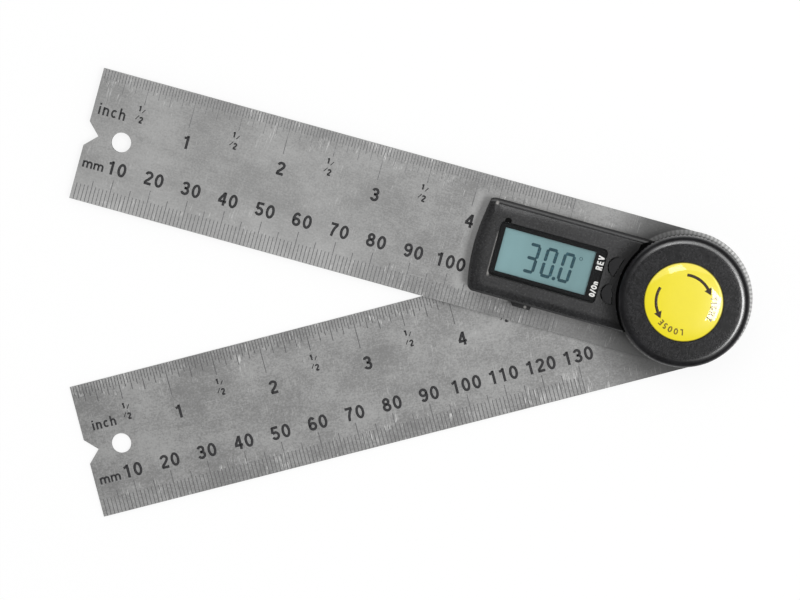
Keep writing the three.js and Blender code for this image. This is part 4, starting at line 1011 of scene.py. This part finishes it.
class ANGLEFINDER_OT_display(Operator):
    """Make the display's figures, the window, its mask and the white legends"""

    bl_idname = "angle_finder.display"
    bl_label = "Display"

    def execute(self, context):
        settings = context.scene.angle_finder_display
        dress(display_glass("display glass", settings), "lcd_glass")
        dress(plain_moulding("window mask", (0.004, 0.004, 0.005), 0.75), "lens_gasket")
        rounded_copy("window_lens", "window_pane", clear_window("clear window"), 0.08 * MM)
        tall, wide = settings.figure_height - settings.bar_width, settings.figure_width - settings.bar_width
        middle = (WINDOW_LOW.y + WINDOW_HIGH.y) / 2 + READING_SHIFT
        places = {
            "a": (0, -tall / 2, False), "g": (0, 0, False), "d": (0, tall / 2, False),
            "f": (wide / 2, -tall / 4, True), "b": (-wide / 2, -tall / 4, True),
            "e": (wide / 2, tall / 4, True), "c": (-wide / 2, tall / 4, True),
        }
        bars, column = [], 0
        for figure in settings.reading:
            x = DISPLAY_START_X * MM - column * settings.figure_pitch
            if figure == ".":
                radius = settings.bar_width * DOT_SHARE
                place = (x + settings.figure_pitch / 2, middle + tall / 2, DISPLAY_TOP + BAR_THICKNESS / 2)
                dot = started("cylinder", vertices=16, radius=radius, depth=BAR_THICKNESS, location=place)
                bars.append(settle(dot))
                continue
            for bar in BARS[figure]:
                dx, dy, standing = places[bar]
                bars.append(display_bar(settings, (x + dx, middle + dy), standing))
            column += 1
        reading = merge("display_reading", bars)
        slant = Matrix.Identity(4)
        slant[0][1], slant[0][3] = DISPLAY_SLANT, -DISPLAY_SLANT * middle
        reading.data.transform(slant)
        x = DISPLAY_START_X * MM - (column - DEGREE_GAP) * settings.figure_pitch
        ring = loop((x, middle - tall / 2 + DEGREE_DROP), (DEGREE_RADIUS, DEGREE_RADIUS))
        degree = ribbons("degree", [ring], DEGREE_STROKE, BAR_THICKNESS, DISPLAY_TOP)
        reading = merge("display_reading", [reading, degree])
        finished(reading, "upper_arm", etched_ink("display bars", settings.bar_colour))
        white = plain_moulding("legend white", (0.86, 0.86, 0.84), 0.5, 0.3, 0.04)
        strokes = [
            s for body, (x, y), share, gap in LEGENDS
            for s in set_text(body, settings.legend_height * share, (x * MM, y * MM), -math.pi / 2, gap=gap)
        ]
        width = settings.legend_height * LEGEND_STROKE
        legend = ribbons("window_legends", strokes, width, PRINT_THICKNESS, WINDOW_HIGH.z)
        finished(legend, "upper_arm", white)
        return {"FINISHED"}


# Arrows: radius in millimetres, start and end in degrees; words: the angle of their middle
ARROWS = ((7.05, -82.0, -138.0), (7.1, -17.0, 38.0))
LABEL_WORDS = (("LOOSE", 79), ("TIGHT", -178))
WORD_RADIUS = 7.75 * MM
WORD_GAP = 0.33
WORD_STROKE = 0.215
ARROW_WIDTH = 0.74
HEAD_LENGTH = 1.8
HEAD_WIDTH = 2.1
HEAD_REACH = 0.4
DOME_RISE = 0.58 * MM
DOME_LIP = 0.06 * MM
DOME_POWER = 4
DOME_RINGS = (0.992, 0.97, 0.94, 0.90, 0.85, 0.79, 0.72, 0.63, 0.5, 0.3)


class ANGLEFINDER_OT_label(Operator):
    """Make the domed label and its printed arrows and words"""

    bl_idname = "angle_finder.label"
    bl_label = "Label"

    def execute(self, context):
        settings = context.scene.angle_finder_label
        vinyl = label_vinyl("label print", settings)
        resin_dome(vinyl)
        height = LABEL_HIGH.z
        strokes, heads = [], []
        for radius, start, end in ARROWS:
            strokes.append([(x * MM, y * MM) for x, y in arc((0, 0), (radius, radius), start, end, 20)])
            way = 1 if end > start else -1
            heads.append(arrow_head(radius, end, way))
        arrows = ribbons("arrows", strokes, ARROW_WIDTH * MM, PRINT_THICKNESS, height)
        words = [
            s for body, turn in LABEL_WORDS
            for s in set_text(body, settings.word_height, (0, 0), radians(turn), WORD_RADIUS, WORD_GAP)
        ]
        word = ribbons("words", words, settings.word_height * WORD_STROKE, PRINT_THICKNESS, height)
        for name, pieces, colour_of in (
            ("label_arrows", [arrows, *heads], settings.print_colour),
            ("label_words", [word], settings.word_colour),
        ):
            printed = merge(name, pieces)
            lay_on_dome(printed)
            ink = etched_ink(f"{name} ink", colour_of, Coat_Weight=1.0, Coat_Roughness=0.04)
            finished(printed, "knob", ink)
        return {"FINISHED"}


def arrow_head(radius, angle, way):
    """A flat three-cornered head at the end of an arrow's arc, with its barbs swept back."""
    a = radians(angle)
    foot = Vector((math.cos(a), math.sin(a), 0)) * radius * MM
    ahead = Vector((-math.sin(a), math.cos(a), 0)) * way
    head = started("cylinder", vertices=3, radius=1, depth=1, location=(0, 0, 0))
    head.scale = (HEAD_WIDTH / math.sqrt(3) * MM, HEAD_LENGTH / 1.5 * MM, PRINT_THICKNESS)
    settle(head)
    head.rotation_euler.z = math.atan2(ahead.y, ahead.x) - math.pi / 2
    place = foot + ahead * HEAD_REACH * MM
    head.location = (place.x, place.y, LABEL_HIGH.z + PRINT_THICKNESS / 2)
    return settle(head)


def dome_drop(distance):
    """How far the resin dome lies below its top at a distance from the axis."""
    return DOME_RISE * (distance / LABEL_RADIUS) ** DOME_POWER


def resin_dome(finish):
    """The label as a disc of resin, flat in the middle and falling off towards its rim."""
    foot = (0, 0, LABEL_LOW.z)
    dome = started("circle", vertices=96, radius=LABEL_RADIUS, fill_type="NGON", location=foot)
    wall = LABEL_HIGH.z - LABEL_LOW.z - DOME_RISE - DOME_LIP
    mode("EDIT")
    bpy.ops.mesh.select_all(action="SELECT")
    bpy.ops.mesh.extrude_region_move(TRANSFORM_OT_translate={"value": (0, 0, wall)})
    distance, drop = LABEL_RADIUS, DOME_RISE + DOME_LIP
    for share in DOME_RINGS:
        inner = LABEL_RADIUS * share
        bpy.ops.mesh.inset(thickness=distance - inner, depth=drop - dome_drop(inner))
        distance, drop = inner, dome_drop(inner)
    mode("OBJECT")
    settle(dome)
    bpy.ops.object.shade_smooth_by_angle(angle=radians(50))
    dome.name = dome.data.name = "label_dome"
    return finished(dome, "knob", finish, ("knob_label",))


def lay_on_dome(piece):
    """Lowers a flat print on to the label's dome."""
    for vertex in piece.data.vertices:
        vertex.co.z -= dome_drop(math.hypot(vertex.co.x, vertex.co.y))


class ANGLEFINDER_OT_works(Operator):
    """Finish the pieces inside the housing, the pivot and the knob"""

    bl_idname = "angle_finder.works"
    bl_label = "Works"

    def execute(self, context):
        settings = context.scene.angle_finder_steel
        bright = bright_steel("bright steel", settings.bright_colour)
        dress(bright, "pivot_stud", "retaining_ring", "contact_negative", "contact_positive",
              *[f"housing_screw_{i}" for i in range(1, 5)], "board_screw_1", "board_screw_2")
        dress(bright_steel("cell steel", settings.bright_colour, 0.5), "coin_cell")
        dress(bright_steel("turned brass", settings.brass_colour), "pivot_bush", "knob_insert")
        nylon = plain_moulding("nylon", (0.72, 0.70, 0.62), 0.45)
        dress(nylon, "friction_washer", "knob_washer", "battery_guide")
        black = plain_moulding("black parts", (0.012, 0.012, 0.013), 0.4)
        dress(black, "counter_chip", "switch_zero", "switch_reverse")
        dress(board_lacquer("board lacquer"), "circuit_board", "encoder_rotor")
        dress(connector_rubber("connector rubber"), "lcd_connector")
        return {"FINISHED"}


# Camera turns in degrees and the pivot's place in its view in millimetres
CAMERA_TURNS = (3.76, -3.86, 164.70)
CAMERA_PIVOT = (73.77, 0.51)
FRAME_WIDTH = 800
SENSOR = 36


def soft_box(name, power, azimuth, tilt, distance, size, share):
    """A softbox that looks at the knob."""
    lamp = bpy.data.lights.new(name, "AREA")
    lamp.shape = "RECTANGLE"
    lamp.size, lamp.size_y = size
    lamp.energy = power * share
    piece = added(name, lamp)
    a, t = radians(azimuth - CAMERA_TURNS[2]), radians(tilt)
    away = Vector((math.cos(a) * math.sin(t), math.sin(a) * math.sin(t), math.cos(t)))
    piece.location = away * distance
    piece.rotation_euler = away.to_track_quat("Z", "Y").to_euler()


# Each softbox: azimuth from the view's right, tilt from straight above, distance, size, share of its power
OVERHEAD = {"overhead": (98, 22, 1.8, (1.3, 0.75), 1.0)}
SIDE_BOXES = {
    "right": (-23, 14.6, 1.6, (0.37, 0.31), 1.0),
    "top": (110, 14, 1.6, (0.22, 0.22), 0.16),
    "top rim": (95, 26, 1.6, (0.8, 0.3), 0.075),
    "upper right": (8, 25, 1.6, (0.9, 0.36), 0.45),
}
FLOOR_SIZE = 12
FLOOR_DROP = 0.1 * MM


def blend_shaders(tree, factor, first, second, output):
    """Sends a mix of two shaders to an output."""
    blend = tree.nodes.new("ShaderNodeMixShader")
    ends = ((factor, blend.inputs[0]), (first, blend.inputs[1]), (second, blend.inputs[2]),
            (blend.outputs[0], output))
    for source, target in ends:
        tree.links.new(source, target)


def lay_floor(settings):
    floor = started("plane", size=FLOOR_SIZE, location=(0, 0, -FLOOR_DROP))
    floor.name = "floor"
    paper = Finish("floor paper", Roughness=0.9, Specular_IOR_Level=0.0)
    pale = settings.floor_colour
    paper.feed(Base_Color=paper.mix(paper.noise(3, 3, 0.5), shade(pale, 0.995), pale))
    seen = paper.node("ShaderNodeLightPath", out="Is Camera Ray") * settings.floor_glow
    glow = paper.tree.nodes.new("ShaderNodeEmission")
    blend_shaders(
        paper.tree, seen.socket, paper.shader.outputs[0], glow.outputs[0],
        paper.tree.nodes["Material Output"].inputs["Surface"],
    )
    floor.data.materials.append(paper.material)


def light_sky(context, settings):
    """A white sky that is dimmer in reflections."""
    world = bpy.data.worlds.new("studio")
    context.scene.world = world
    world.use_nodes = True
    tree = world.node_tree
    sky = tree.nodes["Background"]
    gloss = tree.nodes.new("ShaderNodeBackground")
    sky.inputs["Color"].default_value = (1, 1, 1, 1)
    for node, strength in ((sky, settings.sky_level), (gloss, settings.gloss_level)):
        node.inputs["Strength"].default_value = strength
    rays = tree.nodes.new("ShaderNodeLightPath")
    blend_shaders(
        tree, rays.outputs["Is Glossy Ray"], sky.outputs[0], gloss.outputs[0],
        tree.nodes["World Output"].inputs["Surface"],
    )


def set_camera(context, settings):
    view = bpy.data.cameras.new("view")
    view.sensor_width = SENSOR
    view.lens = settings.camera_zoom * settings.camera_distance / MM * SENSOR / FRAME_WIDTH
    view.clip_end = 20
    turns = [Matrix.Rotation(radians(angle), 3, axis) for angle, axis in zip(CAMERA_TURNS, "XYZ")]
    to_world = (turns[0] @ turns[1] @ turns[2]).transposed()
    seat = Vector((-CAMERA_PIVOT[0] * MM, -CAMERA_PIVOT[1] * MM, settings.camera_distance))
    camera = added("view", view)
    camera.matrix_world = Matrix.Translation(to_world @ seat) @ to_world.to_4x4()
    context.scene.camera = camera
    context.scene.view_settings.view_transform = "Standard"


class ANGLEFINDER_OT_stage(Operator):
    """Set the floor, the light and the camera"""

    bl_idname = "angle_finder.stage"
    bl_label = "Stage"

    def execute(self, context):
        settings = context.scene.angle_finder_stage
        lay_floor(settings)
        light_sky(context, settings)
        for boxes, power in ((OVERHEAD, settings.overhead_power), (SIDE_BOXES, settings.side_power)):
            for name, place in boxes.items():
                soft_box(f"{name} softbox", power, *place)
        set_camera(context, settings)
        return {"FINISHED"}


class ANGLEFINDER_PT_panel(Panel):
    """Lists the angle finder's steps and settings"""

    bl_idname = "ANGLEFINDER_PT_panel"
    bl_label = "Angle Finder"
    bl_space_type = "VIEW_3D"
    bl_region_type = "UI"
    bl_category = "Angle Finder"

    def draw(self, context):
        for operator in OPERATORS:
            self.layout.operator(operator.bl_idname)
        for name in SETTINGS:
            group = getattr(context.scene, name)
            for key in group.bl_rna.properties.keys():
                if key not in ("rna_type", "name"):
                    self.layout.prop(group, key)


OPERATORS = (
    ANGLEFINDER_OT_stage,
    ANGLEFINDER_OT_arms,
    ANGLEFINDER_OT_graduations,
    ANGLEFINDER_OT_figures,
    ANGLEFINDER_OT_mouldings,
    ANGLEFINDER_OT_display,
    ANGLEFINDER_OT_label,
    ANGLEFINDER_OT_works,
)
SETTINGS = {
    "angle_finder_steel": SteelSettings,
    "angle_finder_scales": ScaleSettings,
    "angle_finder_mouldings": MouldingSettings,
    "angle_finder_display": DisplaySettings,
    "angle_finder_label": LabelSettings,
    "angle_finder_stage": StageSettings,
}
CLASSES = (*SETTINGS.values(), *OPERATORS, ANGLEFINDER_PT_panel)


def register():
    for kind in CLASSES:
        bpy.utils.register_class(kind)
    for name, kind in SETTINGS.items():
        setattr(bpy.types.Scene, name, PointerProperty(type=kind))


def unregister():
    for name in SETTINGS:
        delattr(bpy.types.Scene, name)
    for kind in reversed(CLASSES):
        bpy.utils.unregister_class(kind)


def main():
    register()
    for operator in OPERATORS:
        group, step = operator.bl_idname.split(".")
        getattr(getattr(bpy.ops, group), step)()


if __name__ == "__main__":
    main()
